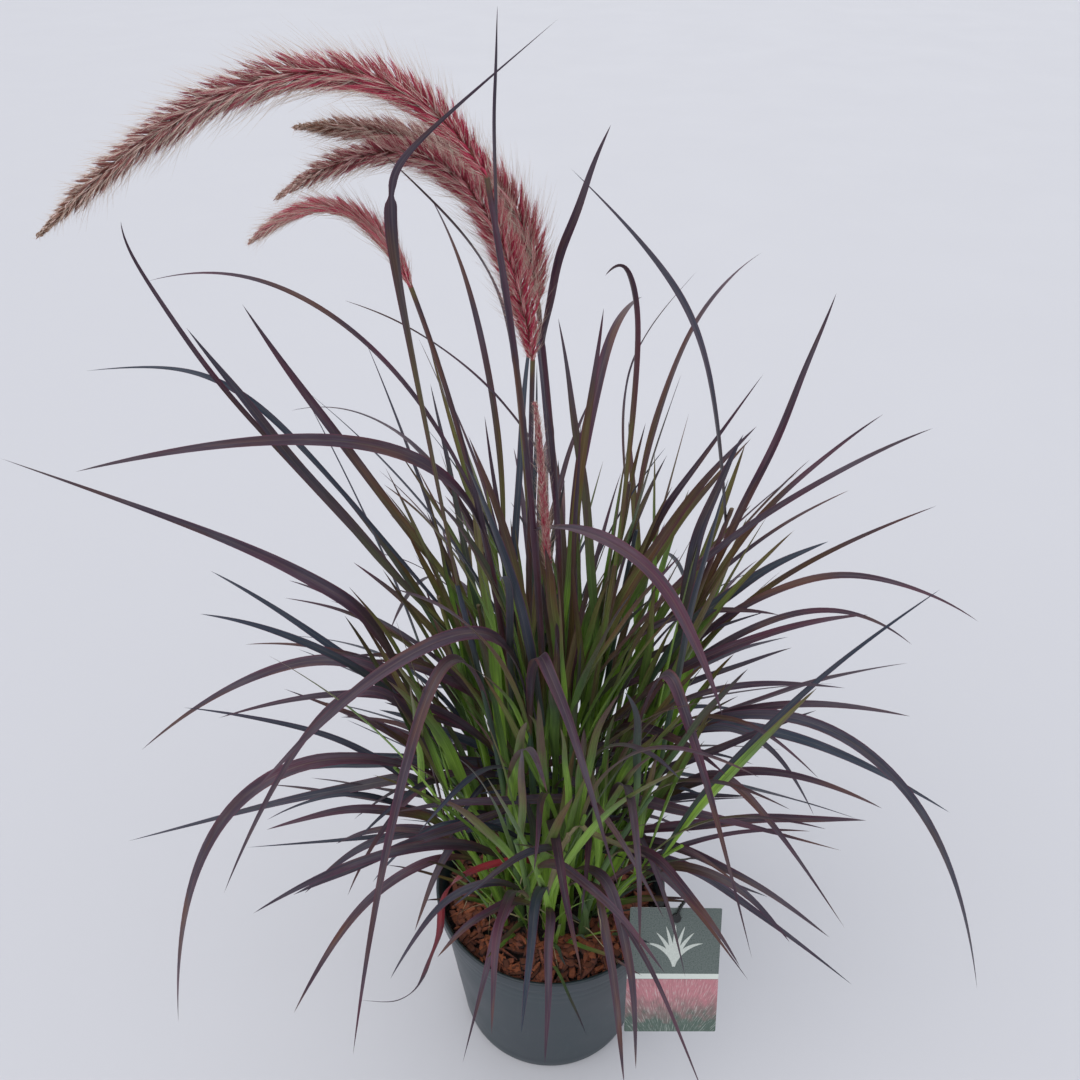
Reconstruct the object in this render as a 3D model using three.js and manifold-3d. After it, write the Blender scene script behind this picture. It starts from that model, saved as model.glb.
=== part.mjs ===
// Potted purple fountain grass: a nursery pot filled with growing medium and topped with bark, a clump of leafy
// stems that each stand in a hole of their own, five flower stems with their plumes, and a label hooked on the rim.
// Millimetres, +Z up. The origin is the centre of the pot's underside, and a viewer stands on the -Y side.
// Bearings are degrees seen from above: 0 is +X, the viewer's right, 90 is away from the viewer, 180 is left.

import * as THREE from "three";
import { mergeVertices } from "three/addons/utils/BufferGeometryUtils.js";
import Module from "manifold-3d";

const wasm = await Module();
wasm.setup();

// Edges shorter than this are closed up once a solid is joined.
const SLIVER = 0.05;
// A loose piece of a joined solid is a scrap only below this volume.
const SCRAP = 5;

// Pot
const POT_HEIGHT = 175;
const RIM_RADIUS = 105;
const FOOT_RADIUS = 84;
const WALL = 2;
const FLOOR = 2.6;
const RIM_BAND_HEIGHT = 15;
const RIM_BAND_STEP = 2.4;
const FOOT_ROUNDING = 4;
const SIDES = 30;
const DRAIN_HOLES = 6;
const DRAIN_RADIUS = 6;
const DRAIN_CIRCLE = 62;

// What fills the pot
const GAP = 0.3;
const SOIL_TOP = 150;
const SOIL_MOUND = 5;
const BARK_INNER_RADIUS = 66;
const BARK_DEPTH = 6;
const BARK_CHIPS = 20;
const CHIP_LENGTH = [11, 22];
const CHIP_WIDTH = [5, 10];
const CHIP_THICKNESS = 4;

// Stems
const CROWN_RADIUS = 58;
const STEM_PLACES = 41;
const GOLDEN_TURN = 137.508;
const STEM_SIDES = 5;
const STEM_RINGS = 3;
const FLOWER_STEM_RINGS = 5;
const FLOWER_STEM_CROWDING = 0.7;
const STEM_RADIUS = 3.1;
const STEM_TIP_RADIUS = 1.5;
const FLOWER_STEM_TIP_RADIUS = 1.4;
const STEM_DEPTH = 26;
const HOLE_CLEARANCE = 0.5;
const STEM_LENGTH = [170, 330];
const STEM_LEAN = [12, 75];

// Leaves
const LEAF_STEPS = 4;
const LEADING_LEAF_STEPS = 6;
const LEAVES_PER_STEM = 4;
const HEART_SHARE = 0.47;
const HEART_LEAF_LENGTH = [230, 330];
const HEART_LEAF_WIDTH = [6, 9];
const FACE_ROLL = 40;
const FILLING_LENGTH = [190, 360];
const LEAF_KEEL = 1.1;
const LEAF_ROOT_WIDTH = 3.4;
const LEAF_ROOT_ROLL = 0.35;
const LEAF_FULL_WIDTH_AT = 0.3;
const TURN_STEP = 3;
const MOST_TURNS = 16;
const SLEEVE = 0.45;
const LOWEST_LEAF = 16;
const HIGHEST_FILLING_LEAF = 430;

// Plumes
const PLUME_SIDES = 6;
const PLUME_RINGS = 8;
const PLUME_CORE_SHARE = 0.42;
const TUFT_THICKNESS = 0.07;
const TUFT_LEAN = 1.15;

// Label
const CARD_WIDTH = 78;
const CARD_HEIGHT = 106;
const CARD_THICKNESS = 0.8;
const CARD_CORNER = 3;
const CARD_HOLE_RADIUS = 2.6;
const CARD_HOLE_DROP = 8;
const CARD_TILT = 33;
const CARD_YAW = 6;
const CARD_ROLL = -6;
const CARD_CENTRE = [102, -94, 182];
const HOOK_BEARING = -15;
const HOOK_RADIUS = 1.3;
const HOOK_SIDES = 8;
const HOOK_WIDTH = 9;
const HOOK_WALL = 1.8;
const HOOK_LEG = 17;
const HOOK_INNER_LEG = 8;
const HOOK_HEAD_RADIUS = 4.2;

// The flower stems: the crown place each grows from, where its plume starts, the knee and the tip of the plume's
// arc, how thick the plume is with its bristles, and how many tufts it has.
const FLOWERS = [
  { place: 15, top: [-36, -60, 828], knee: [-96, -64, 940], tip: [-262, -76, 802], girth: 26, tufts: 56 },
  { place: 3, top: [-11, 16, 729], knee: [-10, 16, 836], tip: [-141, -14, 840], girth: 23, tufts: 42 },
  { place: 4, top: [-14, -14, 705], knee: [-37, -26, 884], tip: [-140, -78, 822], girth: 24, tufts: 46 },
  { place: 12, top: [-82, -30, 758], knee: [-106, -38, 835], tip: [-162, -54, 792], girth: 15, tufts: 24 },
  { place: 10, top: [-4, -56, 575], knee: [-6, -60, 640], tip: [-13, -62, 700], girth: 11, tufts: 18 },
];

// The leaves that give the clump its outline. Each leaves its stem at a height, heads for a knee and ends at a tip,
// and both are given as a bearing, a distance from the pot's axis and a height. A sharp above 1 takes the leaf
// closer to its knee, as where it has folded. A roll turns its face where it must not follow the rest.
const LEADING_LEAVES = [
  // left, high
  { at: 800, knee: [242, 68, 865], tip: [244, 66, 905], width: 4 },
  { at: 560, knee: [223, 120, 836], tip: [269, 85, 904], width: 8, sharp: 6, roll: -80 },
  { at: 565, knee: [190, 25, 755], tip: [213, 110, 844], width: 10, sharp: 3 },
  { at: 600, knee: [140, 55, 690], tip: [157, 150, 712], width: 6 },
  { at: 605, knee: [165, 130, 770], tip: [167, 272, 724], width: 4 },
  { at: 480, knee: [180, 255, 730], tip: [180, 248, 785], width: 4 },
  { at: 475, knee: [184, 160, 610], tip: [183, 220, 725], width: 10 },
  { at: 470, knee: [168, 140, 596], tip: [169, 203, 718], width: 9 },
  // left, middle
  { at: 560, knee: [202, 60, 700], tip: [194, 290, 661], width: 10 },
  { at: 385, knee: [196, 130, 547], tip: [190, 335, 663], width: 11, sharp: 3 },
  { at: 500, knee: [174, 210, 690], tip: [174, 310, 674], width: 5, sharp: 3 },
  { at: 335, knee: [179, 120, 560], tip: [177, 346, 327], width: 10 },
  { at: 275, knee: [168, 125, 337], tip: [170, 226, 378], width: 10, sharp: 3 },
  { at: 445, knee: [240, 60, 620], tip: [211, 236, 462], width: 11 },
  { at: 390, knee: [222, 90, 700], tip: [234, 246, 245], width: 9 },
  { at: 335, knee: [208, 118, 640], tip: [204, 271, 311], width: 8 },
  // left, low
  { at: 330, knee: [196, 270, 525], tip: [195, 345, 90], width: 11 },
  { at: 316, knee: [192, 100, 355], tip: [183, 363, 254], width: 10, sharp: 2 },
  { at: 255, knee: [195, 90, 273], tip: [187, 259, 262], width: 8, sharp: 3 },
  { at: 263, knee: [211, 150, 343], tip: [207, 245, 144], width: 8 },
  { at: 235, knee: [225, 100, 320], tip: [214, 165, 165], width: 7 },
  // front
  { at: 236, knee: [244, 90, 259], tip: [244, 167, 137], width: 9, sharp: 3 },
  { at: 243, knee: [296, 125, 262], tip: [300, 152, 76], width: 8 },
  { at: 270, knee: [289, 160, 440], tip: [295, 165, 126], width: 9 },
  { at: 402, knee: [258, 80, 590], tip: [284, 175, 400], width: 10, sharp: 2 },
  { at: 240, knee: [270, 105, 300], tip: [268, 165, 165], width: 8 },
  { at: 600, knee: [290, 128, 662], tip: [290, 196, 556], width: 11 },
  { at: 434, knee: [306, 120, 563], tip: [314, 210, 290], width: 9, sharp: 3 },
  // right, low
  { at: 300, knee: [331, 142, 425], tip: [334, 253, 267], width: 8, sharp: 3 },
  { at: 243, knee: [316, 110, 315], tip: [326, 195, 191], width: 8, sharp: 3 },
  { at: 230, knee: [330, 108, 302], tip: [346, 280, 113], width: 9, sharp: 2 },
  { at: 333, knee: [322, 94, 355], tip: [338, 236, 333], width: 10, sharp: 3 },
  { at: 311, knee: [4, 144, 446], tip: [2, 231, 254], width: 7 },
  { at: 357, knee: [346, 252, 570], tip: [346, 378, 147], width: 9 },
  { at: 298, knee: [2, 90, 465], tip: [6, 370, 220], width: 11 },
  // right, middle
  { at: 312, knee: [10, 166, 550], tip: [8, 293, 425], width: 6 },
  { at: 405, knee: [7, 155, 600], tip: [6, 309, 490], width: 6 },
  { at: 414, knee: [350, 90, 520], tip: [351, 184, 580], width: 10 },
  { at: 447, knee: [0, 113, 590], tip: [0, 239, 656], width: 6 },
  // right, high
  { at: 700, knee: [258, 14, 770], tip: [330, 32, 842], width: 6 },
  { at: 577, knee: [354, 93, 738], tip: [69, 21, 809], width: 7, sharp: 2 },
  { at: 542, knee: [351, 62, 800], tip: [338, 30, 757], width: 9 },
  { at: 580, knee: [43, 53, 680], tip: [33, 110, 732], width: 6, sharp: 2 },
  { at: 478, knee: [14, 71, 560], tip: [12, 140, 674], width: 6, sharp: 2 },
  { at: 470, knee: [336, 92, 585], tip: [341, 120, 668], width: 9 },
  { at: 498, knee: [7, 150, 618], tip: [7, 174, 733], width: 6 },
  // away from the viewer
  { at: 520, knee: [50, 110, 690], tip: [48, 235, 700], width: 8 },
  { at: 470, knee: [75, 95, 690], tip: [72, 245, 640], width: 10 },
  { at: 500, knee: [112, 90, 680], tip: [118, 190, 745], width: 7 },
  { at: 430, knee: [135, 110, 650], tip: [140, 285, 560], width: 9 },
  { at: 380, knee: [95, 110, 560], tip: [90, 300, 470], width: 11 },
  { at: 320, knee: [120, 170, 520], tip: [122, 330, 230], width: 10 },
  { at: 330, knee: [60, 180, 540], tip: [62, 330, 260], width: 9 },
  { at: 280, knee: [85, 130, 400], tip: [80, 270, 190], width: 9 },
  { at: 260, knee: [105, 100, 340], tip: [108, 240, 250], width: 8 },
  { at: 300, knee: [150, 120, 420], tip: [148, 300, 330], width: 8 },
  { at: 250, knee: [35, 110, 350], tip: [38, 265, 215], width: 8 },
];

const radians = THREE.MathUtils.degToRad;
const lerp = THREE.MathUtils.lerp;
const UP = new THREE.Vector3(0, 0, 1);

/** A seeded source of numbers from 0 to 1, so that every build draws the same plant. */
function seeded(seed) {
  let state = seed;
  return () => (state = (state * 48271) % 2147483647) / 2147483647;
}

/** A number in a range, at a share of the way through it. */
const within = ([low, high], share) => lerp(low, high, share);

/** The level unit vector with a bearing. */
const heading = (bearing) => new THREE.Vector3(Math.cos(radians(bearing)), Math.sin(radians(bearing)), 0);

/** The vector of a length that climbs at an elevation along a bearing. */
function leg(bearing, elevation, length) {
  return heading(bearing)
    .multiplyScalar(Math.cos(radians(elevation)) * length)
    .setZ(Math.sin(radians(elevation)) * length);
}

/** A closed geometry as a solid that can be joined and cut. */
function solidOf(geometry) {
  const bare = geometry.index ? geometry.toNonIndexed() : geometry.clone();
  bare.deleteAttribute("normal");
  bare.deleteAttribute("uv");
  const merged = mergeVertices(bare, 1e-4);
  return new wasm.Manifold(
    new wasm.Mesh({
      numProp: 3,
      vertProperties: merged.attributes.position.array,
      triVerts: new Uint32Array(merged.index.array),
    }),
  );
}

/** A solid back as a geometry, with its normals. */
function geometryOf(solid) {
  const mesh = solid.getMesh();
  const geometry = new THREE.BufferGeometry();
  geometry.setAttribute("position", new THREE.BufferAttribute(new Float32Array(mesh.vertProperties), 3));
  geometry.setIndex(new THREE.BufferAttribute(new Uint32Array(mesh.triVerts), 1));
  geometry.computeVertexNormals();
  return geometry;
}

/** Several solids as one. */
const joined = (solids) => solids.reduce((sum, solid) => sum.add(solid));

/** A solid without the loose scraps, sealed hollows and slivers that joining may have left. */
function whole(solid) {
  const pieces = solid.simplify(SLIVER).decompose();
  const largest = pieces.reduce((best, piece) => (piece.volume() > best.volume() ? piece : best));
  if (pieces.some((piece) => piece !== largest && piece.volume() > SCRAP)) throw new Error("a piece came loose");
  return largest;
}

/** A four-cornered patch of skin as two triangles, split along the diagonal that stands out further, so that the
 * two sides of a thin twisted blade never cross. */
function patch(a, b, c, d) {
  const [ab, ac, ad] = [b, c, d].map((corner) => corner.clone().sub(a));
  return ab.cross(ad).dot(ac) < 0 ? [a, b, d, b, c, d] : [a, b, c, a, c, d];
}

/** The closed skin over rings of points, root first, each listed anticlockwise as seen from the tip. The last ring
 * may be a single point, where the skin ends in a tip. */
function skin(rings) {
  const sides = rings[0].length;
  const last = rings.at(-1);
  const corners = [];
  for (let side = 1; side < sides - 1; side++) corners.push(rings[0][0], rings[0][side + 1], rings[0][side]);
  for (let i = 0; i + 1 < rings.length; i++) {
    const [near, far] = [rings[i], rings[i + 1]];
    for (let side = 0; side < sides; side++) {
      const next = (side + 1) % sides;
      if (far.length === 1) corners.push(near[side], near[next], far[0]);
      else corners.push(...patch(near[side], near[next], far[next], far[side]));
    }
  }
  for (let side = 1; side < last.length - 1; side++) corners.push(last[0], last[side], last[side + 1]);
  return new THREE.BufferGeometry().setFromPoints(corners);
}

/** A ring of points round a centre, square to a direction, that starts where side says. */
function ring(centre, direction, radius, sides, spin = 0, side = UP) {
  const across = new THREE.Vector3().crossVectors(side, direction);
  if (across.lengthSq() < 1e-6) across.set(0, 1, 0);
  across.normalize();
  const over = new THREE.Vector3().crossVectors(direction, across).normalize();
  return Array.from({ length: sides }, (_, i) => {
    const angle = spin + (2 * Math.PI * i) / sides;
    return centre
      .clone()
      .addScaledVector(across, Math.cos(angle) * radius)
      .addScaledVector(over, Math.sin(angle) * radius);
  });
}

/** The arc of a leaf or plume from its root past a knee to its tip. The higher sharp is, the closer it passes to
 * the knee, as a leaf does that has folded there. Its side is the direction square to the plane it bends in. */
class Arc extends THREE.Curve {
  constructor(root, knee, tip, sharp = 1) {
    super();
    Object.assign(this, { root, knee, tip, sharp });
    const chord = tip.clone().sub(root);
    const level = new THREE.Vector3(-chord.y, chord.x, 0).normalize();
    this.side = knee.clone().sub(root).normalize().cross(tip.clone().sub(knee).normalize());
    if (this.side.dot(level) < 0) this.side.negate();
    this.side.addScaledVector(level, 0.15).normalize();
  }

  getPoint(t, target = new THREE.Vector3()) {
    const [a, b, c] = [(1 - t) ** 2, 2 * this.sharp * t * (1 - t), t ** 2];
    return target
      .set(0, 0, 0)
      .addScaledVector(this.root, a)
      .addScaledVector(this.knee, b)
      .addScaledVector(this.tip, c)
      .divideScalar(a + b + c);
  }
}

/** A leaf's width at a share of its length: narrow at its root, full early on, and drawn out to nothing. */
function leafWidth(width, t) {
  const opening = Math.min(1, t / LEAF_FULL_WIDTH_AT);
  return lerp(Math.min(LEAF_ROOT_WIDTH, width), width, opening) * (1 - t ** 3) ** 0.8;
}

/** A leaf blade along its arc: flat above, with a keel below, rolled a little more and more to one side, and with a
 * point at its tip. extra thickens it all round. */
function leafSolid(arc, { width, steps, roll }, extra = 0) {
  const rings = [];
  for (let i = 0; i < steps; i++) {
    const t = i / steps;
    const along = arc.getTangent(t);
    const over = new THREE.Vector3().crossVectors(along, arc.side).normalize();
    over.applyAxisAngle(along, radians(roll) * Math.min(1, LEAF_ROOT_ROLL + t));
    const across = new THREE.Vector3().crossVectors(over, along);
    const centre = arc.getPoint(t);
    const half = leafWidth(width, t) / 2 + 2 * extra;
    rings.push([
      centre.clone().addScaledVector(across, half).addScaledVector(over, extra),
      centre.clone().addScaledVector(across, -half).addScaledVector(over, extra),
      centre.clone().addScaledVector(over, -LEAF_KEEL - 2 * extra),
    ]);
  }
  rings.push([arc.getPoint(1)]);
  return solidOf(skin(rings));
}

/** Nursery pot: a tapered wall with a stepped band at the rim, a flat foot and round drain holes in its floor. */
function pot() {
  const wallRadius = (z) => lerp(FOOT_RADIUS, RIM_RADIUS - RIM_BAND_STEP, z / POT_HEIGHT);
  const bandFoot = POT_HEIGHT - RIM_BAND_HEIGHT;
  const profile = [
    [0, 0],
    [FOOT_RADIUS - FOOT_ROUNDING, 0],
    [FOOT_RADIUS - FOOT_ROUNDING * 0.3, FOOT_ROUNDING * 0.3],
    [wallRadius(FOOT_ROUNDING), FOOT_ROUNDING],
    [wallRadius(bandFoot), bandFoot],
    [RIM_RADIUS - 0.6, bandFoot + 1],
    [RIM_RADIUS, POT_HEIGHT - 1],
    [RIM_RADIUS - 1, POT_HEIGHT],
    [RIM_RADIUS - RIM_BAND_STEP - WALL, POT_HEIGHT],
    [wallRadius(bandFoot) - WALL, bandFoot],
    [wallRadius(FLOOR) - WALL, FLOOR],
    [0, FLOOR],
  ];
  const shell = new THREE.LatheGeometry(
    profile.map(([radius, z]) => new THREE.Vector2(radius, z)),
    SIDES,
  ).rotateX(Math.PI / 2);
  let solid = solidOf(shell);
  for (let i = 0; i < DRAIN_HOLES; i++) {
    const centre = heading((360 / DRAIN_HOLES) * i).multiplyScalar(DRAIN_CIRCLE);
    const drill = [-1, FLOOR + 1].map((z) => ring(centre.clone().setZ(z), UP, DRAIN_RADIUS, 10));
    solid = solid.subtract(solidOf(skin(drill)));
  }
  return solid;
}

/** The pot's inner radius at a height. */
const potInside = (z) => lerp(FOOT_RADIUS, RIM_RADIUS - RIM_BAND_STEP, z / POT_HEIGHT) - WALL;

/** How high the growing medium stands at a distance from the pot's axis. */
const soilTop = (radius) => SOIL_TOP + SOIL_MOUND * Math.max(0, 1 - (radius / BARK_INNER_RADIUS) ** 2);

/** The growing medium, mounded in the middle, with a plain hole for each stem. */
function growingMedium(stems) {
  const profile = [
    [0, FLOOR + GAP],
    [potInside(FLOOR) - GAP, FLOOR + GAP],
    [potInside(SOIL_TOP) - GAP, SOIL_TOP],
    [BARK_INNER_RADIUS, SOIL_TOP],
    [BARK_INNER_RADIUS * 0.6, soilTop(BARK_INNER_RADIUS * 0.6)],
    [0, soilTop(0)],
  ];
  const body = new THREE.LatheGeometry(
    profile.map(([radius, z]) => new THREE.Vector2(radius, z)),
    SIDES,
  ).rotateX(Math.PI / 2);
  const holes = stems.map(({ foot }) => {
    const ends = [foot.z - HOLE_CLEARANCE, SOIL_TOP + SOIL_MOUND + 2];
    return solidOf(skin(ends.map((z) => ring(foot.clone().setZ(z), UP, STEM_RADIUS + HOLE_CLEARANCE, STEM_SIDES))));
  });
  return solidOf(body).subtract(joined(holes));
}

/** The bark: a ring of it round the clump, with chips that lie on it at all angles and are sunk into it. */
function barkMulch() {
  const draw = seeded(71);
  const outer = potInside(SOIL_TOP) - 2 * GAP;
  const floor = SOIL_TOP + GAP;
  const profile = [
    [BARK_INNER_RADIUS, floor],
    [outer, floor],
    [outer, floor + BARK_DEPTH * 0.5],
    [outer - 8, floor + BARK_DEPTH],
    [BARK_INNER_RADIUS + 8, floor + BARK_DEPTH * 0.8],
    [BARK_INNER_RADIUS, floor],
  ];
  const bed = new THREE.LatheGeometry(
    profile.map(([radius, z]) => new THREE.Vector2(radius, z)),
    SIDES,
  ).rotateX(Math.PI / 2);
  const chips = [];
  for (let i = 0; i < BARK_CHIPS; i++) {
    const length = within(CHIP_LENGTH, draw());
    const width = within(CHIP_WIDTH, draw());
    const reach = within([BARK_INNER_RADIUS + 6, outer - length * 0.45], Math.sqrt(draw()));
    const along = leg(360 * draw(), 50 * (draw() - 0.5), 1);
    const across = new THREE.Vector3().crossVectors(UP, along).normalize().multiplyScalar(width / 2);
    const over = new THREE.Vector3(0, 0, CHIP_THICKNESS * (0.6 + 0.6 * draw()));
    const centre = heading(GOLDEN_TURN * i + 20 * draw())
      .multiplyScalar(reach)
      .setZ(floor + BARK_DEPTH * 0.75);
    const ends = [-0.5, 0.5].map((share) => {
      const end = centre.clone().addScaledVector(along, length * share);
      const taper = share < 0 ? 1 : 0.45 + 0.4 * draw();
      return [
        end.clone().addScaledVector(across, taper),
        end.clone().addScaledVector(over, 0.7).addScaledVector(across, 0.5 * taper),
        end.clone().addScaledVector(over, 0.55).addScaledVector(across, -0.8 * taper),
        end.clone().addScaledVector(over, -0.5).addScaledVector(across, -0.6 * taper),
      ];
    });
    chips.push(solidOf(skin(ends)));
  }
  const rim = new THREE.LatheGeometry(
    [
      [BARK_INNER_RADIUS - 3, floor],
      [outer, floor],
      [outer + 1, floor + 3 * BARK_DEPTH],
      [BARK_INNER_RADIUS - 3, floor + 3 * BARK_DEPTH],
      [BARK_INNER_RADIUS - 3, floor],
    ].map(([radius, z]) => new THREE.Vector2(radius, z)),
    SIDES,
  ).rotateX(Math.PI / 2);
  return joined([solidOf(bed), ...chips]).intersect(solidOf(rim));
}

/** The crown: stems stand on a sunflower spiral, and lean out more the further they are from the middle. */
function crown() {
  const draw = seeded(29);
  return Array.from({ length: STEM_PLACES }, (_, place) => {
    const share = Math.sqrt((place + 0.5) / STEM_PLACES);
    const bearing = (GOLDEN_TURN * place) % 360;
    const foot = heading(bearing).multiplyScalar(CROWN_RADIUS * share);
    const surface = soilTop(CROWN_RADIUS * share);
    const flower = FLOWERS.find((each) => each.place === place);
    const height = within(STEM_LENGTH, 0.8 * (1 - share) + 0.2 * draw()) + 40 * draw();
    const lean = heading(bearing + 30 * (draw() - 0.5)).multiplyScalar(within(STEM_LEAN, share ** 1.5));
    const top = flower ? new THREE.Vector3(...flower.top) : foot.clone().add(lean).setZ(surface + height);
    return { place, share, bearing, flower, surface, foot: foot.setZ(surface - STEM_DEPTH), top, leaves: [] };
  });
}

/** A stem's axis: upright in its hole, then away from there ever more, to its top. */
function stemPoint(stem, z) {
  const climbed = Math.max(0, (z - stem.surface) / (stem.top.z - stem.surface));
  const power = stem.flower ? 3 : 1.5;
  return stem.foot
    .clone()
    .lerp(stem.top, climbed ** power)
    .setZ(z);
}

/** The bare stem, from the foot of its hole to its top. */
function stemSolid(stem) {
  const tip = stem.flower ? FLOWER_STEM_TIP_RADIUS : STEM_TIP_RADIUS;
  const count = stem.flower ? FLOWER_STEM_RINGS : STEM_RINGS;
  const rings = [ring(stem.foot, UP, STEM_RADIUS, STEM_SIDES)];
  for (let i = 0; i <= count; i++) {
    const share = (i / count) ** (stem.flower ? FLOWER_STEM_CROWDING : 1);
    const centre = stemPoint(stem, lerp(stem.surface, stem.top.z, share));
    rings.push(ring(centre, UP, lerp(STEM_RADIUS, tip, share), STEM_SIDES));
  }
  return solidOf(skin(rings));
}

/** The point at a bearing, a distance from the pot's axis and a height. */
const placedAt = ([bearing, reach, height]) => heading(bearing).multiplyScalar(reach).setZ(height);

/** A point as a bearing, a distance from the pot's axis and a height. */
const polar = ({ x, y, z }) => [THREE.MathUtils.radToDeg(Math.atan2(y, x)), Math.hypot(x, y), z];

/** The arc of a leaf that is turned by some degrees about the upright line through its root. */
function leafArc(stem, leaf, degrees) {
  const root = stemPoint(stem, leaf.at);
  const knee = placedAt(leaf.knee).sub(root).applyAxisAngle(UP, radians(degrees)).add(root);
  const tip = placedAt(leaf.tip).sub(root).applyAxisAngle(UP, radians(degrees)).add(root);
  return new Arc(root, knee, tip, leaf.sharp);
}

/** The roll that turns a leaf's upper face to the nearer side of the plant, front or back. */
function faceRoll(bearing) {
  const away = bearing > 20 && bearing < 160;
  return FACE_ROLL * Math.cos(radians(bearing)) * (away ? -1 : 1);
}

/** Gives each leading leaf to the nearest stem that hasn't too many, and lets a leafy stem grow tall enough. */
function shareOutLeadingLeaves(stems) {
  for (const leaf of LEADING_LEAVES) {
    const [bearing, reach] = leaf.knee;
    const want = heading(bearing).multiplyScalar(Math.min(reach, lerp(50, 80, leaf.at / 500)));
    const miss = (stem) => {
      if (stem.flower && stem.top.z < leaf.at + 8) return Infinity;
      const stretch = Math.max(0, leaf.at - stem.top.z);
      return stemPoint(stem, Math.min(leaf.at, stem.top.z)).setZ(0).distanceTo(want) + 0.2 * stretch + 14 * stem.leaves.length;
    };
    const stem = stems.reduce((best, each) => (miss(each) < miss(best) ? each : best));
    stem.leaves.push({ ...leaf, steps: LEADING_LEAF_STEPS, roll: leaf.roll ?? faceRoll(leaf.tip[0]) });
    if (!stem.flower) stem.top.z = Math.max(stem.top.z, leaf.at + 12);
  }
}

/** The leaves that fill the clump: low ones arch and fall, high ones stand, and all of them lead outwards. */
function fillingLeaves(stem, draw) {
  const count = LEAVES_PER_STEM - Math.min(1, stem.leaves.length);
  const highest = Math.min(stem.top.z - 8, HIGHEST_FILLING_LEAF);
  return Array.from({ length: count }, (_, i) => {
    const rank = (i + 0.5 + 0.4 * (draw() - 0.5)) / count;
    const at = lerp(stem.surface + lerp(110, 35, stem.share), highest, rank);
    const bearing = stem.bearing + lerp(160, 50, stem.share) * (2 * draw() - 1);
    const length = within(FILLING_LENGTH, draw());
    const bend = lerp(0.42, 0.62, draw());
    const root = stemPoint(stem, at);
    const knee = root.clone().add(leg(bearing, lerp(62, 82, rank) + 10 * (draw() - 0.5), length * bend));
    const drop = lerp(-50, 60, rank) + 60 * (draw() - 0.5);
    const tip = knee.clone().add(leg(bearing + 40 * (draw() - 0.5), drop, length * (1 - bend)));
    const roll = faceRoll((bearing + 360) % 360) + 60 * (draw() - 0.5);
    return { at, knee: polar(knee), tip: polar(tip), width: lerp(5, 9, draw()), steps: LEAF_STEPS, roll };
  });
}

/** The leaf that stands close to each stem in the heart of the clump. */
function heartLeaves(stem, draw) {
  if (stem.share > HEART_SHARE) return [];
  const at = Math.min(stem.top.z - 10, stem.surface + lerp(50, 170, draw()));
  const length = within(HEART_LEAF_LENGTH, draw());
  const bearing = 360 * draw();
  const root = stemPoint(stem, at);
  const knee = root.clone().add(leg(bearing, 86, length * 0.55));
  const tip = knee.clone().add(leg(bearing, 74, length * 0.45));
  const width = within(HEART_LEAF_WIDTH, draw());
  return [{ at, knee: polar(knee), tip: polar(tip), width, steps: LEAF_STEPS, roll: 80 * (draw() - 0.5) }];
}

/** A plume's arc, from just above its stem. */
function plumeArc({ top, knee, tip }) {
  const [root, bend, end] = [top, knee, tip].map((point) => new THREE.Vector3(...point));
  const start = root.clone().addScaledVector(bend.clone().sub(root).normalize(), GAP);
  return new Arc(start.setZ(root.z + GAP), bend, end);
}

/** How full a plume is at a share of its length: it swells from its foot and narrows to its tip. */
const plumeFullness = (t) => Math.min(1, 0.45 + 4 * t) * (1 - t ** 2.4) ** 0.6;

/** A plume: a slim core with rings of pointed tufts that lean towards its tip. */
function plume(flower, seed) {
  const draw = seeded(seed);
  const arc = plumeArc(flower);
  const outer = flower.girth / 2;
  const coreRadius = (t) => Math.max(1.3, outer * PLUME_CORE_SHARE * plumeFullness(t));
  const rings = [];
  for (let i = 0; i < PLUME_RINGS; i++) {
    const t = i / PLUME_RINGS;
    rings.push(ring(arc.getPointAt(t), i ? arc.getTangentAt(t) : UP, coreRadius(t), PLUME_SIDES, 0, arc.side));
  }
  rings.push([arc.getPointAt(1)]);
  const tufts = [];
  for (let i = 0; i < flower.tufts; i++) {
    const t = lerp(0.03, 0.95, (i + 0.5) / flower.tufts);
    const along = arc.getTangentAt(t);
    const spoke = ring(new THREE.Vector3(), along, 1, 1, radians(GOLDEN_TURN * i))[0];
    const root = arc.getPointAt(t).addScaledVector(spoke, coreRadius(t) * 0.35);
    const reach = outer * plumeFullness(t) * lerp(0.85, 1.1, draw());
    const point = arc
      .getPointAt(t)
      .addScaledVector(spoke, reach)
      .addScaledVector(along, reach * TUFT_LEAN);
    const aim = point.clone().sub(root).normalize();
    tufts.push(solidOf(skin([ring(root, aim, flower.girth * TUFT_THICKNESS, 3, radians(60 * (i % 2))), [point]])));
  }
  return joined([solidOf(skin(rings)), ...tufts]);
}

/** The label's axes: across it, up it and out of its face. */
function cardFrame() {
  const across = heading(CARD_YAW);
  const up = UP.clone().applyAxisAngle(across, -radians(CARD_TILT));
  const out = new THREE.Vector3().crossVectors(across, up);
  across.applyAxisAngle(out, radians(CARD_ROLL));
  up.applyAxisAngle(out, radians(CARD_ROLL));
  return { across, up, out, centre: new THREE.Vector3(...CARD_CENTRE) };
}

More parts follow.
